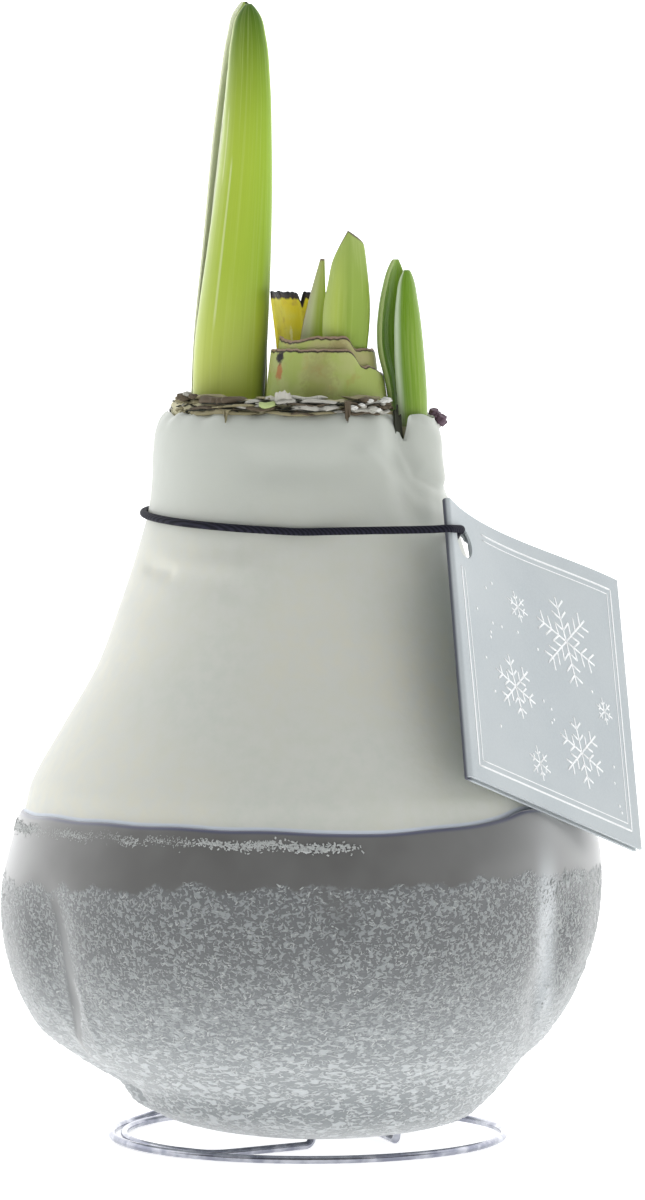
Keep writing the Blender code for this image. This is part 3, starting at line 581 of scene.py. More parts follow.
def step(tree, value, low, high, start=0.0, end=1.0):
    """A smooth run from start, where the value is low, to end, where it is high."""
    inputs = {"Value": value, "From Min": low, "From Max": high, "To Min": start, "To Max": end}
    return put(tree, "MapRange", inputs, interpolation_type="SMOOTHSTEP").outputs["Result"]


def calc(tree, operation, first, second=0.0):
    """What the arithmetic operation makes of the values."""
    return put(tree, "Math", {0: first, 1: second}, operation=operation).outputs[0]


def times(tree, first, *others):
    """The product of the values."""
    for other in others:
        first = calc(tree, "MULTIPLY", first, other)
    return first


def apart(tree, value, centre):
    """How far the value is from the centre."""
    return calc(tree, "ABSOLUTE", calc(tree, "SUBTRACT", value, centre))


def blend(tree, share, first, second):
    """The first colour, with a share of the second over it."""
    node = put(tree, "Mix", data_type="RGBA")
    for index, value in ((0, share), (6, first), (7, second)):
        if isinstance(value, bpy.types.NodeSocket):
            tree.links.new(value, node.inputs[index])
        else:
            node.inputs[index].default_value = (*value, 1.0) if index else value
    return node.outputs[2]


def ramp(tree, value, stops):
    """A colour ramp through (place, colour) stops."""
    node = put(tree, "ValToRGB", {"Fac": value})
    elements = node.color_ramp.elements
    while len(elements) < len(stops):
        elements.new(0.5)
    for element, (at, colour) in zip(elements, stops):
        element.position = at
        element.color = (*colour, 1.0)
    return node.outputs["Color"]


def relief_of(tree, shader, height, distance):
    """Bump of the given height in millimetres."""
    inputs = {"Height": height, "Distance": distance * MM, "Strength": 1.0}
    tree.links.new(put(tree, "Bump", inputs).outputs["Normal"], shader.inputs["Normal"])


def finish_shader(tree, shader, colour, roughness=None):
    """Joins the colour and, where it varies, the roughness to the shader."""
    tree.links.new(colour, shader.inputs["Base Color"])
    if roughness is not None:
        tree.links.new(roughness, shader.inputs["Roughness"])


def split(tree, vector):
    """The vector's outputs "X", "Y" and "Z"."""
    return put(tree, "SeparateXYZ", {"Vector": vector}).outputs


def unrolled(tree):
    """The place on the piece's map, which add_piece makes."""
    return put(tree, "UVMap", uv_map="across_along").outputs["UV"]


def worm_marks(tree, at, size):
    """Short soft curling strokes about size apart: 1 on a stroke and 0 between."""
    value = noise(tree, at, 0.7 * size, 1.0, 0.4, 0.9)
    return step(tree, value, 0.49, 0.60)


def white_wax_material():
    """Satin off-white wax with faint cloudy tints, and a painted pale blue highlight on the ledge
    just over the dip.

    Its map's Y is the height over the dip line, with MAP_UNIT millimetres to the unit.
    """
    material, tree, shader = new_material("white_wax", 0.4, Subsurface_Weight=0.12)
    shader.inputs["Subsurface Radius"].default_value = (0.8, 0.8, 0.7)
    shader.inputs["Subsurface Scale"].default_value = 0.002
    at = place(tree)
    cloud = noise(tree, at, 22.0, 3.0)
    fine = noise(tree, at, 2.2, 3.0, 0.6)
    height = split(tree, at)["Z"]
    warm = blend(tree, step(tree, cloud, 0.35, 0.65), (0.545, 0.57, 0.515), (0.60, 0.595, 0.51))
    colour = blend(tree, step(tree, fine, 0.3, 0.7), warm, (0.58, 0.59, 0.54))
    cool = blend(tree, step(tree, height, 88.0, 108.0), colour, (0.48, 0.504, 0.455))
    over = split(tree, unrolled(tree))["Y"]
    # Painted highlight: a pale blue band on the ledge just over the dip
    painted_ledge_highlight = times(tree, step(tree, over, 0.65 / MAP_UNIT, 0.3 / MAP_UNIT),
                  step(tree, over, -1.0 / MAP_UNIT, 0.0))
    edged = blend(tree, painted_ledge_highlight, cool, (0.60, 0.65, 0.72))
    finish_shader(tree, shader, edged, step(tree, fine, 0.2, 0.8, 0.36, 0.48))
    relief_of(tree, shader, noise(tree, at, 6.0, 4.0, 0.55), 0.12)
    return material


def grey_wax_material():
    """Dark grey wax, bare in a band under its edge and turning to white frost downwards.
    Its bare band is paler towards the left and right sides, which is painted rim light, and a dark
    blue line just under its lip is a painted shadow.

    Its map's X is how thick the frost lies, 0 to 1. Its Y is how far under the edge the place is,
    with MAP_UNIT millimetres to the unit.
    """
    material, tree, shader = new_material("grey_wax", 0.36, Sheen_Weight=0.8, Sheen_Roughness=0.45)
    at = place(tree)
    spot = split(tree, at)
    coat = split(tree, unrolled(tree))
    frost, under = coat["X"], coat["Y"]
    cloud = noise(tree, at, 9.0, 2.0)
    bare = blend(tree, step(tree, cloud, 0.3, 0.7), (0.100, 0.099, 0.095), (0.128, 0.128, 0.124))
    # Painted rim light: the bare wax is paler towards the bulb's left and right sides, above the
    # frost
    sideways = apart(tree, spot["X"], float(AXIS[0]))
    painted_rim_light = calc(tree, "MAXIMUM", step(tree, sideways, 39.0, 50.0, 0.0, 0.7),
                step(tree, spot["X"], 14.0, 38.0, 0.0, 0.42))
    painted_rim_light = times(tree, painted_rim_light, step(tree, spot["Z"], 41.0, 46.0))
    bare = blend(tree, painted_rim_light, bare, (0.25, 0.26, 0.26))
    bare = blend(tree, step(tree, spot["Z"], 44.0, 34.0, 0.0, 0.6), bare, (0.03, 0.042, 0.048))
    low = step(tree, spot["Z"], 36.0, 10.0)
    short = worm_marks(tree, place(tree, (0.85, 0.85, 1.0)), 0.85)
    level = worm_marks(tree, place(tree, (0.5, 0.5, 1.0)), 0.95)
    worms = put(tree, "Mix", {0: low, 2: short, 3: level}).outputs[0]
    covered = step(tree, frost, 0.05, 0.6)
    mask = times(tree, worms, covered)
    milk = blend(tree, low, (0.125, 0.131, 0.135), (0.27, 0.29, 0.30))
    milky = blend(tree, covered, bare, milk)
    white = blend(tree, low, (0.27, 0.29, 0.292), (0.54, 0.57, 0.58))
    colour = blend(tree, mask, milky, white)
    pale_ridge = times(tree, step(tree, apart(tree, spot["X"], 34.2), 2.4, 0.2),
                       step(tree, spot["Y"], 2.0, -2.0),
                       step(tree, spot["Z"], 14.0, 26.0, 0.0, 0.85),
                       step(tree, spot["Z"], 50.0, 38.0, 0.1, 1.0))
    colour = blend(tree, pale_ridge, colour, (0.50, 0.53, 0.55))
    # Painted shadow: a dark blue line just under the lip
    fold = step(tree, under, 0.65 / MAP_UNIT, 0.2 / MAP_UNIT)
    colour = blend(tree, fold, colour, (0.05, 0.055, 0.11))
    duller = calc(tree, "MAXIMUM", mask, step(tree, spot["Z"], 44.0, 34.0))
    finish_shader(tree, shader, colour, step(tree, duller, 0.0, 0.6, 0.34, 0.62))
    relief_of(tree, shader, mask, 0.12)
    return material


def frost_material():
    """White crystals of wax, brighter downwards and in the row under the edge."""
    material, tree, shader = new_material("wax_frost", 0.5, Sheen_Weight=0.6)
    at = place(tree)
    tint = step(tree, noise(tree, at, 1.6, 2.0), 0.3, 0.7)
    low = step(tree, split(tree, at)["Z"], 40.0, 10.0)
    pale = blend(tree, low, (0.28, 0.30, 0.30), (0.54, 0.57, 0.58))
    bright = blend(tree, low, (0.45, 0.47, 0.46), (0.72, 0.74, 0.74))
    colour = blend(tree, tint, pale, bright)
    in_row = step(tree, split(tree, at)["Z"], 46.0, 47.5)
    colour = blend(tree, in_row, colour, (0.50, 0.52, 0.51))
    finish_shader(tree, shader, colour)
    relief_of(tree, shader, noise(tree, at, 0.3, 2.0), 0.03)
    return material


def leaf_material(name, look):
    """A smooth leaf: colour across it, deeper towards its tip, and fine lengthwise veins.

    The painted shade side, if given, holds where that painted shade starts and ends across, with its
    colour; there the shine is lowered too. Each painted highlight line is its place across and
    where it starts and ends along.
    """
    rough = look.get("rough", 0.34)
    material, tree, shader = new_material(name, rough, Specular_IOR_Level=0.32)
    uv = unrolled(tree)
    across, along = split(tree, uv)["X"], split(tree, uv)["Y"]
    body = ramp(tree, across, look["across"])
    inwards = step(tree, apart(tree, across, 0.5), 0.42, 0.30)
    near_tip = step(tree, along, 0.45, 1.0, 0.0, 0.9)
    tipped = blend(tree, times(tree, near_tip, inwards), body, look["tip"])
    footed = blend(tree, step(tree, along, 0.30, 0.0, 0.0, 0.8), tipped, look["foot"])
    scale = (look.get("veins", 26.0), 1.6, 1.0)
    stretched = put(tree, "Mapping", {"Vector": uv, "Scale": scale}).outputs["Vector"]
    vein = noise(tree, stretched, 1.0, 3.0, 0.6)
    lighter = blend(tree, 0.25, footed, (0.72, 0.80, 0.34))
    veined = blend(tree, step(tree, vein, 0.48, 0.72, 0.0, 0.55), footed, lighter)
    darker = blend(tree, 0.35, footed, (0.10, 0.20, 0.01))
    colour = blend(tree, step(tree, vein, 0.42, 0.24, 0.0, 0.5), veined, darker)
    # Painted highlight lines: pale glossy streaks painted along the leaf
    for at_across, low_end, high_end in look.get("painted_highlight_lines", ()):
        near = step(tree, apart(tree, across, at_across), 0.018, 0.004, 0.0, 0.35)
        line = times(tree, near, step(tree, along, low_end, low_end + 0.04),
                     step(tree, along, high_end, high_end - 0.04))
        colour = blend(tree, line, colour, (0.78, 0.84, 0.55))
    # Painted shade on the dark side, where the shine is lowered too
    if "painted_shade_side" in look:
        low_edge, high_edge, painted_shade_colour = look["painted_shade_side"]
        edge = times(tree, step(tree, across, low_edge, high_edge), step(tree, along, 0.36, 0.06))
        colour = blend(tree, edge, colour, painted_shade_colour)
        shine = step(tree, edge, 0.0, 0.6, 0.32, 0.02)
        tree.links.new(shine, shader.inputs["Specular IOR Level"])
    if "dry_tip" in look:
        ragged = calc(tree, "ADD", along, times(tree, vein, 0.05))
        colour = blend(tree, step(tree, ragged, 0.955, 0.995), colour, look["dry_tip"])
    finish_shader(tree, shader, colour, step(tree, vein, 0.3, 0.7, rough - 0.05, rough + 0.08))
    relief_of(tree, shader, vein, 0.05)
    return material


def cut_base_material(name, body, top, rim, rim_start, marks, tint, mottled=0.35):
    """A cut leaf base: a pale body, a dry cut rim and soft marks.

    Each mark is its place across and along, its half sizes, its colour and its strength.
    """
    material, tree, shader = new_material(name, 0.38, Specular_IOR_Level=0.32)
    uv = unrolled(tree)
    across, along = split(tree, uv)["X"], split(tree, uv)["Y"]
    at = place(tree)
    grain = noise(tree, place(tree, (1.0, 1.0, 0.12)), 0.55, 3.0, 0.6)
    mottle = noise(tree, at, 1.8, 3.0)
    cloud = noise(tree, at, 4.5, 2.0)
    colour = blend(tree, step(tree, along, 0.35, 0.9), body, top)
    colour = blend(tree, step(tree, cloud, 0.42, 0.6, 0.0, 0.6), colour, tint)
    colour = blend(tree, step(tree, grain, 0.45, 0.75, 0.0, 0.2), colour, tint)
    colour = blend(tree, step(tree, mottle, 0.55, 0.75, 0.0, mottled), colour, (0.40, 0.24, 0.07))
    rough = calc(tree, "SUBTRACT", noise(tree, at, 0.9, 3.0, 0.7), 0.5)
    for centre, height, half_width, half_height, tone, strength in marks:
        aside = calc(tree, "DIVIDE", calc(tree, "SUBTRACT", across, centre), half_width)
        above = calc(tree, "DIVIDE", calc(tree, "SUBTRACT", along, height), half_height)
        squares = calc(tree, "ADD", times(tree, aside, aside), times(tree, above, above))
        ragged = calc(tree, "ADD", calc(tree, "SQRT", squares), times(tree, rough, 1.6))
        colour = blend(tree, step(tree, ragged, 1.1, 0.5, 0.0, strength), colour, tone)
    ragged_rim = calc(tree, "ADD", along, times(tree, grain, 0.03))
    colour = blend(tree, step(tree, ragged_rim, rim_start, rim_start + 0.02), colour,
                   (0.03, 0.02, 0.015))
    colour = blend(tree, step(tree, ragged_rim, 0.985, 1.0), colour, rim)
    finish_shader(tree, shader, colour, step(tree, mottle, 0.3, 0.7, 0.36, 0.55))
    relief_of(tree, shader, grain, 0.05)
    return material


def dry_material(name, dark, light, roughness=0.75):
    """Dry plant tissue with fibres."""
    material, tree, shader = new_material(name, roughness)
    at = place(tree)
    fibre = noise(tree, place(tree, (1.0, 1.0, 0.3)), 0.5, 4.0, 0.65, 0.3)
    patch = noise(tree, at, 2.4, 2.0)
    share = put(tree, "Math", {0: patch, 1: 0.5, 2: 0.5}, operation="MULTIPLY_ADD").outputs[0]
    tone = calc(tree, "ADD", share, calc(tree, "SUBTRACT", fibre, 0.25))
    colour = blend(tree, step(tree, tone, 0.38, 0.62), dark, light)
    finish_shader(tree, shader, colour)
    relief_of(tree, shader, fibre, 0.12)
    return material


def steel_material():
    """Bright drawn wire with slightly duller stretches."""
    material, tree, shader = new_material("bright_steel", 0.16, Metallic=1.0)
    at = place(tree)
    dull = noise(tree, at, 3.0, 3.0)
    colour = blend(tree, step(tree, dull, 0.35, 0.7), (0.25, 0.26, 0.32), (0.50, 0.51, 0.56))
    finish_shader(tree, shader, colour, step(tree, dull, 0.3, 0.7, 0.1, 0.2))
    relief_of(tree, shader, noise(tree, at, 0.8, 2.0), 0.01)
    return material


def card_material():
    """Uncoated grey-blue card with a fine fibre. Just past the fold, inside, a dark band of painted
    shade lies on it.

    Its map's X runs 0 to 1 across the unfolded card, with the fold at 0.5.
    """
    material, tree, shader = new_material("grey_card", 0.6)
    at = place(tree)
    fibre = noise(tree, at, 0.35, 3.0, 0.7)
    cloud = noise(tree, at, 14.0, 2.0)
    tint = blend(tree, step(tree, cloud, 0.35, 0.65), (0.435, 0.475, 0.495), (0.47, 0.507, 0.522))
    colour = blend(tree, step(tree, fibre, 0.3, 0.7, 0.0, 0.35), tint, (0.53, 0.57, 0.58))
    unfolded = split(tree, unrolled(tree))["X"]
    # Painted shade: a dark band inside, just past the fold
    past_fold = times(tree, step(tree, unfolded, 0.485, 0.505), step(tree, unfolded, 0.60, 0.54))
    folded = blend(tree, past_fold, colour, (0.07, 0.075, 0.10))
    finish_shader(tree, shader, folded)
    relief_of(tree, shader, fibre, 0.02)
    return material


def print_material():
    """White ink."""
    material, tree, shader = new_material("white_print", 0.5)
    grain = noise(tree, place(tree), 0.4, 2.0)
    colour = blend(tree, step(tree, grain, 0.3, 0.7), (0.82, 0.84, 0.85), (0.92, 0.93, 0.93))
    finish_shader(tree, shader, colour)
    return material


def elastic_material():
    """Black braided elastic."""
    material, tree, shader = new_material("black_elastic", 0.7, Specular_IOR_Level=0.15)
    at = place(tree)
    braid = put(tree, "TexWave", {"Vector": at, "Scale": 0.9, "Distortion": 1.5},
                bands_direction="DIAGONAL").outputs["Fac"]
    colour = blend(tree, step(tree, braid, 0.2, 0.8), (0.004, 0.004, 0.009), (0.018, 0.018, 0.032))
    finish_shader(tree, shader, colour)
    relief_of(tree, shader, braid, 0.08)
    return material


# Wax


def relief(angle, height):
    """How far the bulb's lobes, grooves and neck stand out."""
    out = straight(LEAN_LINE, height) * np.cos(np.radians(angle))
    above_foot = smoothstep(10.0, 26.0, height)
    for centre, foot_centre, depth, width in GROOVES:
        middle = foot_centre + (centre - foot_centre) * above_foot
        out = out - depth * bump(angle, middle, width) * window(height, 10.0, 34.0, 12.0)
    neck = smoothstep(92.0, 108.0, height)
    out = out + neck * (1.8 * bump(angle, -22.0, 12.0) - 1.1 * bump(angle, -45.0, 7.0))
    out = out - 0.6 * bump(angle, -70.0, 26.0) * window(height, 84.0, 90.0, 8.0)
    return out - 0.5 * bump(angle, -150.0, 20.0) * window(height, 86.0, 88.0, 6.0)


def crease_depth(creases, x, z):
    """Depth at front-view places of the creases, each a line of points with a width and a depth."""
    total = np.zeros_like(x)
    for line, width, depth in creases:
        near = np.full_like(x, 1e9)
        for (x0, z0), (x1, z1) in zip(line, line[1:]):
            run = np.array([x1 - x0, z1 - z0])
            share = ((x - x0) * run[0] + (z - z0) * run[1]) / run.dot(run)
            share = np.clip(share, 0.0, 1.0)
            gap = np.hypot(x - x0 - share * run[0], z - z0 - share * run[1])
            near = np.minimum(near, gap)
        total += depth * np.exp(-((near / width) ** 2))
    return total


class WaxLine:
    """The wax's outline as smooth curves of the length along it."""

    def __init__(self):
        points = np.array(WAX_LINE)
        steps = np.hypot(*np.diff(points, axis=0).T)
        self.stations = np.concatenate([[0.0], np.cumsum(steps)])
        self.length = self.stations[-1]
        self.points = points

    def radius(self, along):
        return smooth(np.column_stack([self.stations, self.points[:, 0]]), along)

    def height(self, along):
        return smooth(np.column_stack([self.stations, self.points[:, 1]]), along)

    def at_height(self, height):
        along = np.linspace(0.0, self.length, 2000)
        return np.interp(height, self.height(along), along)


def white_depth(height):
    """How far the white wax lies under the outline: it makes room for the grey below the dip."""
    return (GREY_SKIN + SKIN_GAP) * (1.0 - smoothstep(DIP_HEIGHT, DIP_HEIGHT + DIP_RAMP, height))


def wax_surface(line, angle, along, depth, creases):
    """Points of the wax: depth under the outline, with its relief and creases."""
    radius = line.radius(along)
    height = line.height(along)
    slope_r = line.radius(along + 0.4) - line.radius(along - 0.4)
    slope_z = line.height(along + 0.4) - line.height(along - 0.4)
    size = np.hypot(slope_r, slope_z)
    turn = np.radians(angle)
    out = radius + relief(angle, height)
    x = AXIS[0] + out * np.cos(turn)
    front = smoothstep(4.0, -6.0, out * np.sin(turn))
    inwards = depth + crease_depth(creases, x, height) * front
    out = out - inwards * slope_z / size
    height = height + inwards * slope_r / size
    return round_axis(out, angle, height)


def wax_rings(line, angle, along, depth, creases=()):
    """Rings of the wax at each length along its outline."""
    depth = np.broadcast_to(depth, along.shape)
    return wax_surface(line, angle[None, :], along[:, None], depth[:, None], creases)


def dip_height(angle):
    """Height of the grey wax's edge."""
    return smooth(DIP_LINE, away_from(angle, 0.0)) + 0.10 * waves(SEED + 3, 6, 5, 23)(angle)


def neck_top(angle):
    """Height of the white wax's uneven top edge, with its slit."""
    at, foot, half_width = NOTCH
    slit = foot + (WAX_TOP - foot) * np.abs(away_from(angle, at)) / half_width
    top = np.minimum(WAX_TOP + 0.3 * waves(SEED + 5, 8, 6, 30)(angle), slit)
    return top - 0.5 * bump(angle, -24.0, 14.0)


def pocket_wall(angle):
    """How far from the axis the hollow for the side shoot reaches, or 0 away from it."""
    at, distance, radius = POCKET
    off = np.radians(away_from(angle, at))
    reach = np.sqrt(np.clip(radius**2 - (distance * np.sin(off)) ** 2, 0.0, None))
    return np.where(reach > 0.0, distance * np.cos(off) + reach, 0.0)


def make_white_coat(line, material):
    """The white wax: its outside, rounded shoulder, slit rim and inside."""
    angle = all_round(RING_COLUMNS)
    shoulder_foot, crest = SHOULDER[0][1], SHOULDER[-1][1]
    hidden = np.linspace(0.2, line.at_height(CLOSE_ROWS_FROM), 22, endpoint=False)
    close = np.arange(line.at_height(CLOSE_ROWS_FROM), line.at_height(shoulder_foot), ROW_STEP)
    along = np.concatenate([hidden, close])
    outer = wax_rings(line, angle, along, white_depth(line.height(along)), NECK_CREASES)
    edge_radius, foot = off_axis(outer[-1]), outer[-1][:, 2]
    top = neck_top(angle)
    thinnest = 0.55
    skin = WHITE_SKIN - 1.6 * bump(angle, NOTCH[0], 5.0)
    inner_radius = np.maximum(edge_radius - skin, pocket_wall(angle))
    inner_radius = np.clip(inner_radius, None, edge_radius - thinnest)
    layers = [outer]
    for inset, height in SHOULDER[1:]:
        share = (height - shoulder_foot) / (crest - shoulder_foot)
        radius = np.maximum(edge_radius - inset, inner_radius + 0.3 * (1.0 - share) + 0.02)
        in_slit = np.minimum(foot + height - shoulder_foot, np.maximum(top - (1.0 - share), foot))
        level = np.where(top > WAX_TOP - 1.5, foot + (top - foot) * share, in_slit)
        layers.append(round_axis(radius, angle, level)[None])
    for height in (108.0, 105.0):
        layers.append(round_axis(inner_radius, angle, np.minimum(height, top - 0.6))[None])
    inside = np.linspace(line.at_height(104.0), 0.2, 26)
    layers.append(wax_rings(line, angle, inside, white_depth(line.height(inside)) + WHITE_SKIN))
    points, faces = closed_rings(layers)
    over = (points[:, :, 2] - dip_height(angle)) / MAP_UNIT
    return add_piece("white_wax", points, faces, [material], "white_wax", ["white_wax_coat"],
                     uv=np.stack([np.zeros_like(over), over], -1), crease=60.0)


def make_grey_coat(line, material):
    """The grey wax: its outside, its rounded lip along the dip line and its inside."""
    angle = all_round(RING_COLUMNS)
    lip_height = DIP_HEIGHT - 0.5
    lip = line.at_height(lip_height)
    outer = wax_rings(line, angle, np.linspace(0.0, lip, int(lip / ROW_STEP)), 0.0, GREY_CREASES)
    share = smoothstep(36.0, lip_height, outer[:, :, 2])
    outer[:, :, 2] += share * (dip_height(angle) - DIP_HEIGHT)
    edge_radius, edge_height = off_axis(outer[-1]), outer[-1][:, 2]
    layers = [outer]
    for inset, up in ((0.13, 0.18), (0.22, 0.36), (0.38, 0.47), (0.7, 0.52)):
        layers.append(round_axis(edge_radius - inset, angle, edge_height + up)[None])
    inside = np.linspace(line.at_height(50.5), 0.0, 60)
    layers.append(wax_rings(line, angle, inside, GREY_SKIN))
    points, faces = closed_rings(layers)
    under = (dip_height(angle) - points[:, :, 2]) / MAP_UNIT
    frost = frost_cover(angle[None, :], points[:, :, 2], points[:, :, 0])
    return add_piece("grey_wax", points, faces, [material], "grey_wax", ["grey_wax_coat"],
                     uv=np.stack([frost, under], -1), crease=60.0)


def make_bulb(line, material):
    """The bulb's flesh: its skin under the wax, and at the neck a rim round a well of scale edges."""
    angle = all_round(240)
    along = np.linspace(2.0, line.at_height(112.0), 60)
    skin = wax_rings(line, angle, along, white_depth(line.height(along)) + WHITE_SKIN + 0.3)
    edge_radius = off_axis(skin[-1])
    wave = waves(SEED + 9, 10, 4, 40)(angle)
    off = away_from(angle, POCKET[0])
    in_pocket = smoothstep(-27.0, -24.0, off) * smoothstep(15.0, 12.0, off)
    profile = [
        (edge_radius - 0.1, NECK_TOP - 1.0 + 0.2 * wave),
        (edge_radius - 0.9, NECK_TOP - 0.2 + 0.2 * wave),
        (WELL_RADIUS + 0.4, NECK_TOP - 0.6 + 0.2 * wave),
        (WELL_RADIUS, WELL_FLOOR + 0.2),
    ]
    scale_edge = 0.22 + 0.06 * wave
    for radius in (15.6, 13.2, 10.8, 8.3, 5.6, 3.0):
        for shift, lift in ((0.35, 0.0), (0.1, 1.0), (-0.25, 0.9), (-0.5, 0.0)):
            height = WELL_FLOOR - 0.05 + scale_edge * lift
            profile.append((radius + shift + 0.25 * wave, height))
    layers = [skin]
    for radius, height in profile:
        sunk = np.where(radius > WELL_RADIUS - 3.5, in_pocket, 0.0)
        height = height * (1.0 - sunk) + POCKET_FLOOR * sunk
        layers.append(round_axis(radius, angle, height)[None])
    points, faces = closed_rings(layers)
    return add_piece("bulb_flesh", points, faces, [material], "bulb_flesh", ["bulb"], crease=50.0)


def frost_cover(angle, height, x):
    """How thick the frost lies, 0 to 1."""
    uneven = 0.6 * waves(SEED + 1, 9, 3, 34)(angle) + 0.45 * waves(SEED + 2, 9, 30, 90)(angle)
    start = 43.9 - 1.5 * bump(angle, -152.0, 34.0) + 1.0 * bump(angle, -40.0, 22.0) + uneven
    start = start + 1.1 * bump(angle, -92.8, 1.1) + 1.0 * bump(angle, -117.4, 0.9)
    cover = 0.6 * smoothstep(start, start - 1.2, height)
    cover = cover + 0.4 * smoothstep(40.0, 14.0, height)
    cover = cover * smoothstep(start + 0.4, start - 0.4, height)
    front = smoothstep(5.0, -5.0, angle)
    thin = [([(0.5, 43.0), (3.5, 38.0)], 3.2, 0.5)]
    beside = (angle - smooth(SMOOTH_BAND, height)) / smooth(SMOOTH_BAND_WIDTH, height)
    smooth_band = 1.15 * np.exp(-(beside**2)) * window(height, 13.8, 39.4, 1.5)
    less = np.clip(smooth_band + crease_depth(thin, x, height) * front, 0.0, 1.0)
    return cover * (1.0 - less)


def make_frost(line, material, name, low, high, density, size, cover_of, seed, tilt=0.75):
    """Raised worm-shaped crystals of wax, scattered by how thick the frost lies.

    Most lie about level, within tilt radians. Those of the right lobe are long and fan downwards.
    """
    draw = np.random.default_rng(seed)
    first, last = line.at_height(low), line.at_height(high)
    widest = 47.5
    fan_from = 35.6
    count = int(density * 2.0 * math.pi * widest * (last - first))
    along = draw.uniform(first, last, count)
    angle = draw.uniform(-180.0, 180.0, count)
    radius, height = line.radius(along), line.height(along)
    x = AXIS[0] + (radius + relief(angle, height)) * np.cos(np.radians(angle))
    kept = draw.uniform(0.0, 1.0, count) < cover_of(angle, height, x) * radius / widest
    along, angle, radius, x = along[kept], angle[kept], radius[kept], x[kept]
    count = len(along)
    heading = draw.normal(0.0, tilt, count)
    length = size[0] * draw.uniform(0.5, 1.5, count)
    fanned = (x > fan_from) & (angle < 0.0)
    heading = np.where(fanned, draw.normal(-1.15, 0.14, count), heading)
    length = np.where(fanned, 2.2 * length, length)
    width = size[1] * draw.uniform(0.7, 1.3, count)
    lift = size[2] * draw.uniform(0.6, 1.3, count)
    bend = draw.normal(0.0, 0.16, count) * size[0]

    def surface(run, side, up):
        """Points run along each crystal and side across it, up off the wax."""
        over = run * np.cos(heading) - side * np.sin(heading)
        rise = run * np.sin(heading) + side * np.cos(heading)
        at_angle = angle + np.degrees(over / radius)
        at_along = np.clip(along + rise, 0.0, line.length)
        return wax_surface(line, at_angle, at_along, -up, GREY_CREASES)

    sunk = np.full(count, -0.04)
    rows = [surface(-0.5 * length, 0.0, sunk)]
    for run, side in ((-0.18, 1.0), (0.2, -0.8)):
        rows.append(surface(run * length, side * bend + width / 2.0, sunk))
        rows.append(surface(run * length, side * bend - width / 2.0, sunk))
        rows.append(surface(run * length, side * bend, lift))
    rows.append(surface(0.5 * length, 0.0, sunk))
    points = np.stack(rows, 1)
    pattern = [(0, 3, 1), (0, 2, 3), (0, 1, 2), (1, 3, 6, 4), (3, 2, 5, 6), (2, 1, 4, 5),
               (7, 4, 6), (7, 6, 5), (7, 5, 4)]
    faces = [[8 * k + corner for corner in face] for k in range(count) for face in pattern]
    return add_piece(name, points, faces, [material], "grey_wax")


def speck_cover(angle, height, x):
    """A thin broken row of crystals just under the dip line, from the left to the centre.

    Like frost_cover it is handed x, which it doesn't need.
    """
    row = dip_height(angle) - 2.1 + 0.25 * waves(SEED + 7, 7, 8, 30)(angle)
    broken = smoothstep(-1.5, -0.8, waves(SEED + 8, 9, 24, 90)(angle))
    reach = smoothstep(-76.0, -86.0, angle) + smoothstep(60.0, 100.0, angle)
    return np.exp(-(((height - row) / 0.5) ** 2)) * broken * np.clip(reach, 0.0, 1.0)


# Leaves


def leaf_point(plan, across, along, off):
    """Points moved off the leaf's middle surface, with across from -1 to 1 and along from 0 to 1."""
    facing = math.radians(plan["facing"])
    out = np.array([math.cos(facing), math.sin(facing)])
    side = np.array([-out[1], out[0]])
    half_arc = math.radians(plan["arc"])
    share = 1.0 - (1.0 - along) ** 1.5
    left_drop, right_drop = plan.get("round_top", (0.0, 0.0))
    rounding = right_drop * np.clip(across, 0.0, None) + left_drop * np.clip(-across, 0.0, None)
    upper = plan["top"] - rounding
    turn = across * half_arc
    half_width = smooth(plan["half_width"], share)
    normal_side, normal_out = np.sin(turn) * plan["depth"], np.cos(turn)
    size = np.hypot(normal_side, normal_out)
    lateral = half_width * np.sin(turn) / math.sin(min(half_arc, math.pi / 2))
    lateral = lateral + off * normal_side / size
    bulge = plan["depth"] * half_width * (np.cos(turn) - 0.4) + off * normal_out / size
    x = smooth(plan["middle"], share) + side[0] * lateral + out[0] * bulge
    y = plan["back"] + side[1] * lateral + out[1] * bulge
    return np.stack([x, y, plan["foot"] + (upper - plan["foot"]) * share], -1)


def sheet_piece(name, point_at, thickness, rows, columns, **piece):
    """A closed thin solid whose two faces are point_at(across, along, off), thin at its edges."""
    across = np.linspace(-1.0, 1.0, columns)[None, :]
    along = np.linspace(0.0, 1.0, rows)[:, None]
    across, along = np.broadcast_arrays(across, along)
    edge = np.clip(1.0 - np.abs(across) ** 6, 0.0, 1.0) * np.clip(1.0 - along**30, 0.0, 1.0)
    half = thickness / 2.0 * np.clip(np.sqrt(edge), 0.28, 1.0)
    outer = point_at(across, along, half).reshape(-1, 3)
    inner = point_at(across, along, -half).reshape(-1, 3)
    uv = np.stack([(across + 1.0) / 2.0, along], -1).reshape(-1, 2)
    return add_piece(name, np.concatenate([outer, inner]), thin_solid_faces(rows, columns),
                     uv=np.concatenate([uv, uv]), crease=50.0, **piece)


def make_leaf(name, material):
    """One whole leaf, slightly wavy."""
    plan = LEAVES[name]
    wave = waves(SEED + len(name), 5, 1, 4)

    def point_at(across, along, off):
        ripple = 0.10 * wave(along * 180.0 + across * 60.0) * np.sin(np.pi * along)
        return leaf_point(plan, across, along, off + ripple)

    return sheet_piece(name + "_blade", point_at, plan["thickness"], LEAF_ROWS, LEAF_COLUMNS,
                       materials=[material], slot="leaf_green", nodes=[name])


def make_leaves():
    """The seven leaves. The three tall ones stand close, as one shoot."""
    looks = {name: leaf_material(name, look) for name, look in LEAF_LOOKS.items()}
    for name, look in LOOK_OF_LEAF.items():
        make_leaf(name, looks[look])


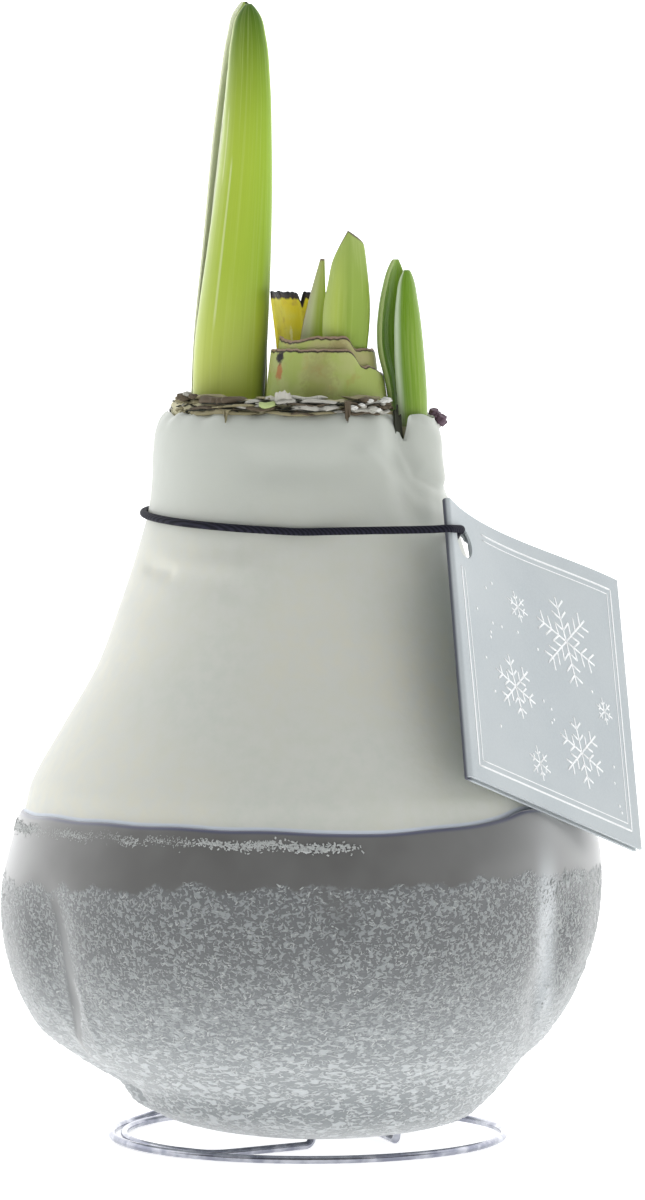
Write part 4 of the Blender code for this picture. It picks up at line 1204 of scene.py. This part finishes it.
def band_point(radii, start, end, top_at, flare):
    """Points of an upright band round an ellipse, as a cut leaf base is."""

    def point_at(across, along, off):
        angle = start + (end - start) * (across + 1.0) / 2.0
        turn = np.radians(angle)
        grown = off + flare * (0.35 - along**2)
        x = BASE_CENTRE[0] + (radii[0] + grown) * np.cos(turn)
        y = BASE_CENTRE[1] + (radii[1] + grown) * np.sin(turn)
        return np.stack([x, y, LEAF_FOOT + (top_at(angle) - LEAF_FOOT) * along], -1)

    return point_at


def make_cut_bases():
    """Two torn green bases, one inside the other, and the yellow stub behind them."""
    outer_look, inner_look, yellow_look = (
        cut_base_material(name, **look) for name, look in BASE_LOOKS.items())
    ragged = waves(SEED + 12, 9, 5, 40)

    def outer_top(angle):
        falling = 2.1 * smoothstep(-68.0, -50.0, angle) + 1.5 * smoothstep(-52.0, -8.0, angle)
        torn = falling * smoothstep(130.0, 70.0, angle)
        return 123.9 - torn - 0.5 * bump(angle, -48.0, 6.0) + 0.09 * ragged(angle)

    def inner_top(angle):
        torn = 0.08 * ragged(angle + 40.0)
        lower = smoothstep(-66.0, -50.0, angle)
        return 125.9 - 1.9 * lower - 0.7 * bump(angle, -135.0, 22.0) + torn

    def yellow_top(angle):
        return 132.9 - 1.7 * bump(angle, 118.0, 2.2) + 0.12 * ragged(angle * 2.0)

    def make_band(name, look, slot, radii, ends, top_at, columns, thickness, flare):
        point_at = band_point(radii, *ends, top_at, flare)
        sheet_piece(name + "_band", point_at, thickness, BASE_ROWS, columns, materials=[look],
                    slot=slot, nodes=[name])

    make_band("cut_leaf_base_outer", outer_look, "cut_leaf", radii=(9.0, 6.9),
              ends=(-178.0, 178.0), top_at=outer_top, columns=181, thickness=0.9, flare=0.9)
    make_band("cut_leaf_base_inner", inner_look, "cut_leaf", radii=(7.7, 5.6),
              ends=(-176.0, 76.0), top_at=inner_top, columns=121, thickness=0.9, flare=0.9)
    make_band("yellow_leaf_base", yellow_look, "yellow_leaf", radii=(7.5, 5.4),
              ends=(86.0, 174.5), top_at=yellow_top, columns=61, thickness=1.1, flare=-1.7)


# Papery tunic round the neck's rim


def rim_inset(angle):
    """How much nearer the axis the rim lies at the sides than at the front."""
    return 1.5 * math.cos(math.radians(angle)) ** 2


def rim_radius(angle):
    """The rim's distance from the axis."""
    return TUNIC_RADIUS + float(relief(angle, WAX_TOP)) - rim_inset(angle)


def flake(angle, span, past, low, high, lean, seed, point=0.0):
    """Points and faces of one ragged curved flake that stands on the rim, or hangs from it."""
    draw = random.Random(seed)
    rows, columns, thickness = 7, 11, 0.3
    across = np.linspace(-1.0, 1.0, columns)[None, :]
    along = np.linspace(0.0, 1.0, rows)[:, None]
    teeth = np.array([draw.uniform(-0.22, 0.12) for _ in range(columns)])[None, :]
    middle = draw.uniform(-0.5, 0.5) if point == 0.0 else 0.0
    crown = 1.0 + teeth - max(point, 0.25) * np.abs(across - middle) ** 1.5
    narrowing = 1.0 - (0.15 + 0.75 * point) * along
    layers = []
    for side in (0.5, -0.5):
        rough = 0.12 * np.sin(across * 7.0 + draw.uniform(0.0, 6.0)) * along
        out = rim_radius(angle) + past + lean * along**1.4 + rough + side * thickness
        height = low + (high - low) * along * crown
        layers.append(round_axis(out, angle + across * span / 2.0 * narrowing, height))
    return np.concatenate(layers).reshape(-1, 3), thin_solid_faces(rows, columns)


def lump(centre, size, seed, stretch):
    """Points and faces of a small uneven lump."""
    draw = random.Random(seed)
    bm = bmesh.new()
    bmesh.ops.create_icosphere(bm, subdivisions=3, radius=1.0)
    phases = [draw.uniform(0.0, 6.3) for _ in range(3)]
    points = []
    for vertex in bm.verts:
        co = vertex.co
        uneven = 1.0 + 0.16 * math.sin(5.0 * co.x + phases[0]) * math.sin(6.0 * co.z + phases[1])
        uneven += 0.08 * math.sin(11.0 * co.y + phases[2])
        points.append([centre[i] + co[i] * uneven * size * stretch[i] for i in range(3)])
    faces = [[v.index for v in face.verts] for face in bm.faces]
    bm.free()
    return np.array(points), faces


def slab(angle, span, low, high, inner, outer, seed, droop=0.0):
    """Points and faces of one flat layered scrap that lies along the rim, ragged at its edge."""
    draw = random.Random(seed)
    columns = max(8, int(span / 1.3))
    share = np.linspace(-1.0, 1.0, columns)
    taper = np.clip(1.0 - np.abs(share) ** 5, 0.05, 1.0)
    ragged = np.array([draw.uniform(-0.28, 0.22) for _ in range(columns)])
    wavy = 0.16 * np.sin(share * draw.uniform(2.0, 6.0) + draw.uniform(0.0, 6.0))
    middle = (low + high) / 2.0 + wavy
    half = (high - low) / 2.0 * taper
    reach = inner + (outer - inner) * (0.45 + 0.55 * taper) + ragged * taper
    section = [(inner, middle + half), (reach - 0.25, middle + half - droop * 0.8),
               (reach, middle + 0.3 * half - droop), (reach, middle - 0.5 * half - droop),
               (reach - 0.3, middle - half - droop), (inner, middle - half)]
    rings = [round_axis(out, angle + share * span / 2.0, height) for out, height in section]
    sides = len(section)
    faces = grid_faces(columns, sides, wrap_columns=True).tolist()
    faces += [list(range(sides))[::-1], list(range((columns - 1) * sides, columns * sides))]
    return np.stack(rings, 1).reshape(-1, 3), faces


def rim_scraps(draw):
    """Scraps all round the rim, and near-black sheets of painted shade in the gaps between them."""
    shapes = []
    scraps = 120
    for number in range(scraps):
        angle = -46.0 - (number + draw.uniform(-0.4, 0.4)) * 316.0 / scraps
        radius = rim_radius(angle)
        low = draw.uniform(TUNIC_FOOT, 116.3)
        outer = radius - 0.35 * (low - TUNIC_FOOT) + draw.uniform(-0.9, 0.35)
        tone = draw.choices((DARK, OLIVE, PAPER), (5, 4, 1.5))[0]
        span = draw.uniform(7.0, 26.0)
        high = low + draw.uniform(0.3, 0.65)
        droop = draw.uniform(0.0, 0.3)
        shape = slab(angle, span, low, high, radius - SCRAP_REACH, outer, SEED + number, droop)
        shapes.append((tone, shape))
    # The near-black sheets in the gaps between layers are painted shade
    gaps = 60
    for number in range(gaps):
        angle = -52.0 - (number + draw.uniform(-0.4, 0.4)) * 304.0 / gaps
        radius = rim_radius(angle)
        low = draw.uniform(114.0, 116.2)
        outer = radius + 0.2 - 0.3 * (low - TUNIC_FOOT)
        shape = slab(angle, draw.uniform(8.0, 20.0), low, low + 0.2, radius - SCRAP_REACH, outer,
                     SEED + 900 + number)
        shapes.append((PAINTED_SHADE, shape))
    return shapes


def front_scraps():
    """The larger scraps and flakes of the front."""
    shapes = []
    for number, (tone, angle, span, low, high, past, droop) in enumerate(FRONT_SCRAPS):
        inner = TUNIC_RADIUS - 3.0 - rim_inset(angle)
        shape = slab(angle, span, low, high, inner, rim_radius(angle) + past,
                     SEED + 500 + number, droop)
        shapes.append((tone, shape))
    for number, (tone, plan) in enumerate(LOOSE_FLAKES):
        shapes.append((tone, flake(seed=SEED + 700 + number, **plan)))
    return shapes


def crumbs(draw):
    """Crumbs of wax and scale on the rim, and the dried bud at its right."""
    shapes = []
    for number in range(16):
        angle = -67.0 + 1.35 * number
        out = TUNIC_RADIUS - 0.2 + float(relief(angle, WAX_TOP)) + draw.uniform(-0.5, 0.3)
        centre = round_axis(out, angle, 115.2 + draw.uniform(-0.9, 1.0))
        tone = (WAX_BIT, PAPER, DARK)[number % 3]
        shapes.append((tone, lump(centre, draw.uniform(0.35, 0.75), number, (1.2, 1.0, 0.6))))
    for angle, height, size, tone in LEFT_CRUMBS:
        centre = round_axis(rim_radius(angle) - 0.1, angle, height)
        shapes.append((tone, lump(centre, size, int(height), (1.5, 1.2, 0.8))))
    for out, height, size, tone in BUD_LUMPS:
        centre = round_axis(out, BUD_ANGLE, height)
        shapes.append((tone, lump(centre, size, int(height), (1.0, 1.1, 0.95))))
    return shapes


def make_tunic():
    """The dry tunic: flat ragged layers round the rim, with the larger pieces of the front."""
    draw = random.Random(SEED)
    shapes = rim_scraps(draw) + front_scraps() + crumbs(draw)
    points, faces = joined([shape for _, shape in shapes])
    tones = [tone for tone, (_, shape_faces) in shapes for _ in shape_faces]
    materials = [dry_material(*look) for look in TUNIC_LOOKS]
    return add_piece("tunic_flakes", points, faces, materials, "papery_tunic", ["neck_tunic"],
                     crease=50.0, tones=tones)


# Wire stand


def ring_point(turned_by, radius, height):
    """A point of the wire ring, turned by so many degrees from where the wire starts."""
    angle = math.radians(RING_START - turned_by)
    return RING_CENTRE + [radius * math.cos(angle), radius * math.sin(angle), height]


def unit(vector):
    """The vector, brought to a length of 1."""
    return vector / np.linalg.norm(vector)


def elbow(run_start, prong):
    """The bend from a run on the floor up into a prong."""
    ahead = unit(prong - run_start)
    points = []
    for turn in np.linspace(0.0, math.pi / 2.0, 9):
        back = ELBOW_RADIUS * (1.0 - math.sin(turn))
        points.append(prong - ahead * back + [0.0, 0.0, ELBOW_RADIUS * (1.0 - math.cos(turn))])
    top = prong + ahead * PRONG_LEAN + [0.0, 0.0, PRONG_TOP - WIRE_RADIUS]
    return points + [points[-1] * 0.5 + top * 0.5, top]


def rounded_corner(before, corner, after, radius):
    """Points of a bend that starts and ends at the radius from the corner."""
    start = corner + unit(before - corner) * radius
    end = corner + unit(after - corner) * radius
    share = np.linspace(0.0, 1.0, 11)[:, None]
    return list(start * (1 - share) ** 2 + corner * 2.0 * share * (1 - share) + end * share**2)


def make_wire(material):
    """One wire: up in the middle, about one and a half turns of the ring, in and up at the side."""
    on_floor = np.array([0.0, 0.0, WIRE_RADIUS])
    front, side = FRONT_PRONG + on_floor, SIDE_PRONG + on_floor
    inner, outer = RING_RADII
    first = ring_point(0.0, inner, WIRE_RADIUS)
    route = elbow(first, front)[::-1]
    route += rounded_corner(front, first, ring_point(12.0, inner, WIRE_RADIUS), 3.0)
    first_turn, last_turn = 15.0, 500.0
    top = 3.0 * WIRE_RADIUS + 0.05
    for turned_by in np.linspace(first_turn, last_turn, 151):
        radius = inner + (outer - inner) * float(smoothstep(160.0, 250.0, turned_by))
        lift = float(smoothstep(440.0, 480.0, turned_by))
        route.append(ring_point(turned_by, radius, WIRE_RADIUS + (top - WIRE_RADIUS) * lift))
    corner = ring_point(last_turn + 14.0, outer * 1.02, top)
    inwards = unit((side - corner) * [1.0, 1.0, 0.0])
    past_first = corner + inwards * 4.6
    landing = corner + inwards * 9.6
    landing[2] = WIRE_RADIUS
    route += rounded_corner(route[-1], corner, past_first, 3.2)[1:]
    for share in np.linspace(0.0, 1.0, 9)[1:]:
        down = past_first * (1 - share) + landing * share
        down[2] = top + (WIRE_RADIUS - top) * float(smoothstep(0.0, 1.0, share))
        route.append(down)
    route += elbow(landing, side)
    points, faces = tube(route, WIRE_RADIUS, WIRE_SIDES)
    return add_piece("wire", points, faces, [material], "bright_steel", ["wire_stand"], crease=60.0)


# Elastic cord and folded tag


def tag_frame():
    """The tag's directions: across from its fold, down along it, and out to the viewer."""
    across = unit(TAG_ACROSS)
    down = unit(TAG_DOWN_HINT - across * TAG_DOWN_HINT.dot(across))
    return across, down, unit(np.cross(down, across))


def tag_point(reach, fall, lift):
    """A point reach across from the fold, fall down from the top edge and lift off the card."""
    across, down, out = tag_frame()
    share = np.clip(reach / TAG_SIZE, 0.0, 1.0)
    along = np.clip(fall / TAG_SIZE, 0.0, 1.0)
    # share * (1 - share) ** 2 is at most 1 / 6.75
    bow = TAG_BOW * 6.75 * share * (1.0 - share) ** 2 * (1.0 - along) ** 2
    reach, fall, off = np.broadcast_arrays(reach, fall, lift - bow)
    return TAG_CORNER + reach[..., None] * across + fall[..., None] * down + off[..., None] * out


def border_of(faces):
    """The edges that only one of the faces has."""
    edges = {}
    for face in faces:
        for start, end in zip(face, face[1:] + face[:1]):
            if (end, start) in edges:
                del edges[(end, start)]
            else:
                edges[(start, end)] = True
    return list(edges)


def make_tag(card, white):
    """The card: two square leaves joined by a rounded fold, with a punched hole."""
    spacing = (TAG_SHEET + TAG_FOLD_GAP) / 2.0
    reaches = np.concatenate([np.linspace(TAG_SIZE, 7.2, 34), np.linspace(7.0, 0.6, 33)])
    front = [(reach, spacing) for reach in reaches]
    fold = [
        (spacing - spacing * math.sin(t), spacing * math.cos(t))
        for t in np.linspace(0.0, math.pi, 13)[1:-1]
    ]
    line = np.array(front + fold + [(reach, -spacing) for reach, _ in front[::-1]])
    run = np.gradient(line, axis=0)
    normal = np.stack([-run[:, 1], run[:, 0]], -1)
    normal /= np.linalg.norm(normal, axis=1)[:, None]
    falls = np.unique(np.concatenate([np.linspace(0.0, 2.9, 7), np.linspace(3.0, 8.8, 30),
                                      np.linspace(9.2, TAG_SIZE, 56)]))
    rows, columns = len(falls), len(line)
    layers = []
    for side in (0.5, -0.5):
        shifted = line + normal * CARD_THICKNESS * side
        layers.append(tag_point(shifted[None, :, 0], falls[:, None], shifted[None, :, 1]))
    layers = [pull_to_hole(layer, line, falls) for layer in layers]
    count = rows * columns
    in_hole = np.hypot(line[None, :, 0] - hole_reach(line), falls[:, None] - TAG_HOLE[1])
    open_cell = (in_hole < TAG_HOLE_RADIUS - HOLE_SLACK).ravel()
    kept = [face for face in grid_faces(rows, columns).tolist() if not open_cell[face].any()]
    faces = kept + [[corner + count for corner in face[::-1]] for face in kept]
    faces += [[end, start, start + count, end + count] for start, end in border_of(kept)]
    points = np.concatenate([layer.reshape(-1, 3) for layer in layers])
    used, corners = np.unique(faces, return_inverse=True)
    faces = corners.reshape(-1, 4).tolist()
    unfolded = np.linspace(0.0, 1.0, columns)[None, :]
    spread = np.stack(np.broadcast_arrays(unfolded, falls[:, None] / TAG_SIZE), -1)
    uv = np.concatenate([spread.reshape(-1, 2)] * 2)
    add_piece("tag", points[used], faces, [card], "grey_card", ["tag_card"], uv=uv[used],
              crease=35.0)
    make_print(white, spacing + CARD_THICKNESS / 2.0)


def hole_reach(line):
    """How far across the hole's centre lies: the rear leaf's hole sits a little further in."""
    return TAG_HOLE[0] + REAR_HOLE_SHIFT * (line[None, :, 1] < 0.0)


def pull_to_hole(layer, line, falls):
    """Moves the points nearest the hole's edge onto it, so that the hole is round."""
    reach = np.broadcast_to(line[None, :, 0], layer.shape[:2])
    fall = np.broadcast_to(falls[:, None], layer.shape[:2])
    away = np.hypot(reach - hole_reach(line), fall - TAG_HOLE[1])
    near = (away >= TAG_HOLE_RADIUS - HOLE_SLACK) & (away < TAG_HOLE_RADIUS + 0.17)
    across, down, _ = tag_frame()
    scale = np.where(near, TAG_HOLE_RADIUS / np.maximum(away, 0.1) - 1.0, 0.0)
    move = (reach - hole_reach(line))[..., None] * across + (fall - TAG_HOLE[1])[..., None] * down
    return layer + move * scale[..., None]


def strip(start, end, width, lift):
    """Points and faces of a thin printed line between two places on the card."""
    start, end = np.array(start, float), np.array(end, float)
    run = end - start
    size = np.linalg.norm(run)
    side = np.array([-run[1], run[0]]) / size * width / 2.0
    cells = max(1, int(size / 1.5))
    rings = []
    for k in range(cells + 1):
        middle = start + run * k / cells
        for at, up in ((middle + side, lift), (middle - side, lift),
                       (middle - side, lift + 0.03), (middle + side, lift + 0.03)):
            rings.append(tag_point(*at, up))
    faces = grid_faces(cells + 1, 4, wrap_columns=True).tolist()
    faces += [[3, 2, 1, 0], [4 * cells + corner for corner in range(4)]]
    return np.array(rings), faces


def crystal_lines(centre, size, barbs):
    """The lines of a plain snow crystal: six arms with paired barbs."""
    lines = []
    arms = 6
    for arm in range(arms):
        turn = 2.0 * math.pi * arm / arms + 0.3
        ahead = np.array([math.cos(turn), math.sin(turn)])
        lines.append((centre, centre + ahead * size))
        for barb in range(1, barbs + 1):
            root = centre + ahead * size * barb / (barbs + 1.0)
            for way in (-1.0, 1.0):
                split_turn = turn + way * math.radians(55.0)
                tip = np.array([math.cos(split_turn), math.sin(split_turn)])
                lines.append((root, root + tip * size * 0.3))
    return lines


def make_print(white, lift):
    """A double rule and scattered snow crystals, printed in white."""
    lines = []
    for inset, width in ((2.4, 0.32), (3.4, 0.18)):
        corners = [(inset, 10.5), (inset, TAG_SIZE - inset), (TAG_SIZE - inset, TAG_SIZE - inset),
                   (TAG_SIZE - inset, inset), (10.5, inset)]
        lines += [(*ends, width) for ends in zip(corners, corners[1:])]
    crystals = [((30.0, 15.0), 7.4, 3), ((14.5, 27.0), 5.2, 2), ((31.0, 33.5), 5.8, 2),
                ((18.0, 12.5), 2.6, 1), ((19.0, 38.5), 2.8, 1), ((38.5, 24.5), 2.2, 1)]
    for centre, size, barbs in crystals:
        width = 0.34 if size > 4.0 else 0.26
        lines += [(*ends, width) for ends in crystal_lines(np.array(centre), size, barbs)]
    draw = random.Random(SEED)
    for _ in range(34):
        spot = np.array([draw.uniform(6.0, 41.0), draw.uniform(10.0, 41.0)])
        if all(np.linalg.norm(spot - centre) > size + 0.8 for centre, size, _ in crystals):
            lines.append((spot - [0.22, 0.0], spot + [0.22, 0.0], 0.44))
    points, faces = joined([strip(*line, lift + 0.005) for line in lines])
    add_piece("tag_print", points, faces, [white], "grey_card")


def cord_point(line, angle):
    """A point of the cord where it lies on the neck."""
    turn = math.radians(angle)
    height = CORD_HEIGHT + CORD_TILT[0] * math.cos(turn) + CORD_TILT[1] * math.sin(turn)
    radius = float(line.radius(line.at_height(height)) + relief(angle, height))
    out = radius + CORD_RADIUS + 0.1
    return AXIS + [out * math.cos(turn), out * math.sin(turn), height]


def through(points, steps):
    """A smooth closed curve through the points."""
    points = np.asarray(points, float)
    count = len(points)
    curve = []
    for i in range(count):
        p0, p1, p2, p3 = (points[(i + k) % count] for k in (-1, 0, 1, 2))
        for k in range(steps):
            t = k / steps
            curve.append(0.5 * (2 * p1 + (p2 - p0) * t + (2 * p0 - 5 * p1 + 4 * p2 - p3) * t**2
                                + (3 * p1 - p0 - 3 * p2 + p3) * t**3))
    return np.array(curve)


def make_cord(line, material):
    """The elastic: round the neck, past the tag's fold and through its hole."""
    across, down, out = tag_frame()
    stack = TAG_SHEET + TAG_FOLD_GAP / 2.0
    reach = stack + CORD_RADIUS + 0.15
    hole = tag_point(*TAG_HOLE, 0.0)
    in_hole = hole - down * 1.85 - across * 0.6
    past_fold = in_hole - across * TAG_HOLE[0] + down * 1.45 + out * reach
    on_neck = [cord_point(line, -90.0 - step_on * 9.0) for step_on in range(32)]
    loop = on_neck + [
        in_hole - out * (reach + 1.3) + across * 2.6,
        in_hole - out * 1.0 + across * 0.5,
        in_hole + out * 0.2 + across * 0.2,
        in_hole + out * (reach - 0.1) - across * 1.1 + down * 0.4,
        past_fold + across * 1.4 - down * 0.45 + out * 0.1,
        past_fold - across * 0.5 - out * 0.2,
        past_fold * 0.85 + on_neck[0] * 0.15,
        past_fold * 0.5 + on_neck[0] * 0.5,
        past_fold * 0.2 + on_neck[0] * 0.8,
    ]
    route = through(loop, 6)
    points, faces = tube(route, CORD_RADIUS, 14, closed=True)
    return add_piece("elastic", points, faces, [material], "black_elastic", ["elastic_cord"])


# Floor, light and camera


def make_floor():
    """A plain pale floor, lit enough to run into the white behind."""
    material, tree, shader = new_material("pale_floor", 0.9)
    at = place(tree)
    tint = blend(tree, noise(tree, at, 60.0), (0.80, 0.80, 0.80), (0.83, 0.83, 0.83))
    finish_shader(tree, shader, tint)
    shader.inputs["Emission Color"].default_value = (1.0, 1.0, 1.0, 1.0)
    shader.inputs["Emission Strength"].default_value = 0.75
    mesh = bpy.data.meshes.new("floor")
    corners = [(x * FLOOR_REACH, y * FLOOR_REACH, FLOOR_LEVEL)
               for x, y in ((-1, -1), (1, -1), (1, 1), (-1, 1))]
    mesh.from_pydata(corners, [], [(0, 1, 2, 3)])
    mesh.materials.append(material)
    floor = bpy.data.objects.new("floor", mesh)
    bpy.context.scene.collection.objects.link(floor)


def make_world():
    """A white studio that is brightest behind the object and dimmer behind the camera."""
    world = bpy.data.worlds.new("studio")
    world.use_nodes = True
    bpy.context.scene.world = world
    tree = world.node_tree
    toward = put(tree, "TexCoord").outputs["Generated"]
    back = split(tree, toward)["Y"]
    shade = ramp(tree, step(tree, back, -1.0, 0.4), [(0.0, (0.13, 0.135, 0.14)),
                                                    (0.42, (0.25, 0.255, 0.26)),
                                                    (0.78, (1.0, 1.01, 1.02)),
                                                    (1.0, (1.35, 1.36, 1.37))])
    background = tree.nodes["Background"]
    tree.links.new(shade, background.inputs["Color"])
    background.inputs["Strength"].default_value = STUDIO_LIGHT


def make_lights():
    """Soft lights that point at the bulb."""
    for name, (at, (width, height), power) in LIGHTS.items():
        light = bpy.data.lights.new(name, "AREA")
        light.shape = "RECTANGLE"
        light.size = width
        light.size_y = height
        light.energy = power
        obj = bpy.data.objects.new(name, light)
        bpy.context.scene.collection.objects.link(obj)
        obj.location = at
        obj.rotation_euler = (Vector(LIGHT_AIM) - Vector(at)).to_track_quat("-Z", "Y").to_euler()


def make_camera():
    """The photograph's camera, a little over the middle of the bulb and looking slightly down."""
    camera = bpy.data.cameras.new("camera")
    camera.lens = CAMERA_LENS
    camera.sensor_width = 36.0
    obj = bpy.data.objects.new("camera", camera)
    bpy.context.scene.collection.objects.link(obj)
    lift = math.radians(CAMERA_ELEVATION)
    back = Vector((0.0, -math.cos(lift), math.sin(lift)))
    obj.location = CAMERA_AIM + back * CAMERA_DISTANCE
    obj.rotation_euler = (-back).to_track_quat("-Z", "Y").to_euler()
    bpy.context.scene.camera = obj


def main():
    """Sets up the studio and builds every piece."""
    bpy.context.scene.view_settings.view_transform = "Standard"
    make_camera()
    make_floor()
    make_world()
    make_lights()

    line = WaxLine()
    make_white_coat(line, white_wax_material())
    make_grey_coat(line, grey_wax_material())
    frost = frost_material()
    make_frost(line, frost, "frost_upper", 26.0, 47.0, density=1.6, size=(0.75, 0.24, 0.07),
               cover_of=frost_cover, seed=21)
    make_frost(line, frost, "frost_lower", 3.2, 26.0, density=1.1, size=(0.95, 0.25, 0.09),
               cover_of=frost_cover, seed=22, tilt=0.5)
    make_frost(line, frost, "frost_row", 46.5, 51.8, density=24.0, size=(0.5, 0.24, 0.08),
               cover_of=speck_cover, seed=23, tilt=1.2)
    make_bulb(line, dry_material("bulb_flesh", (0.20, 0.17, 0.09), (0.50, 0.47, 0.30)))
    make_leaves()
    make_cut_bases()
    make_tunic()
    make_wire(steel_material())
    make_tag(card_material(), print_material())
    make_cord(line, elastic_material())


main()
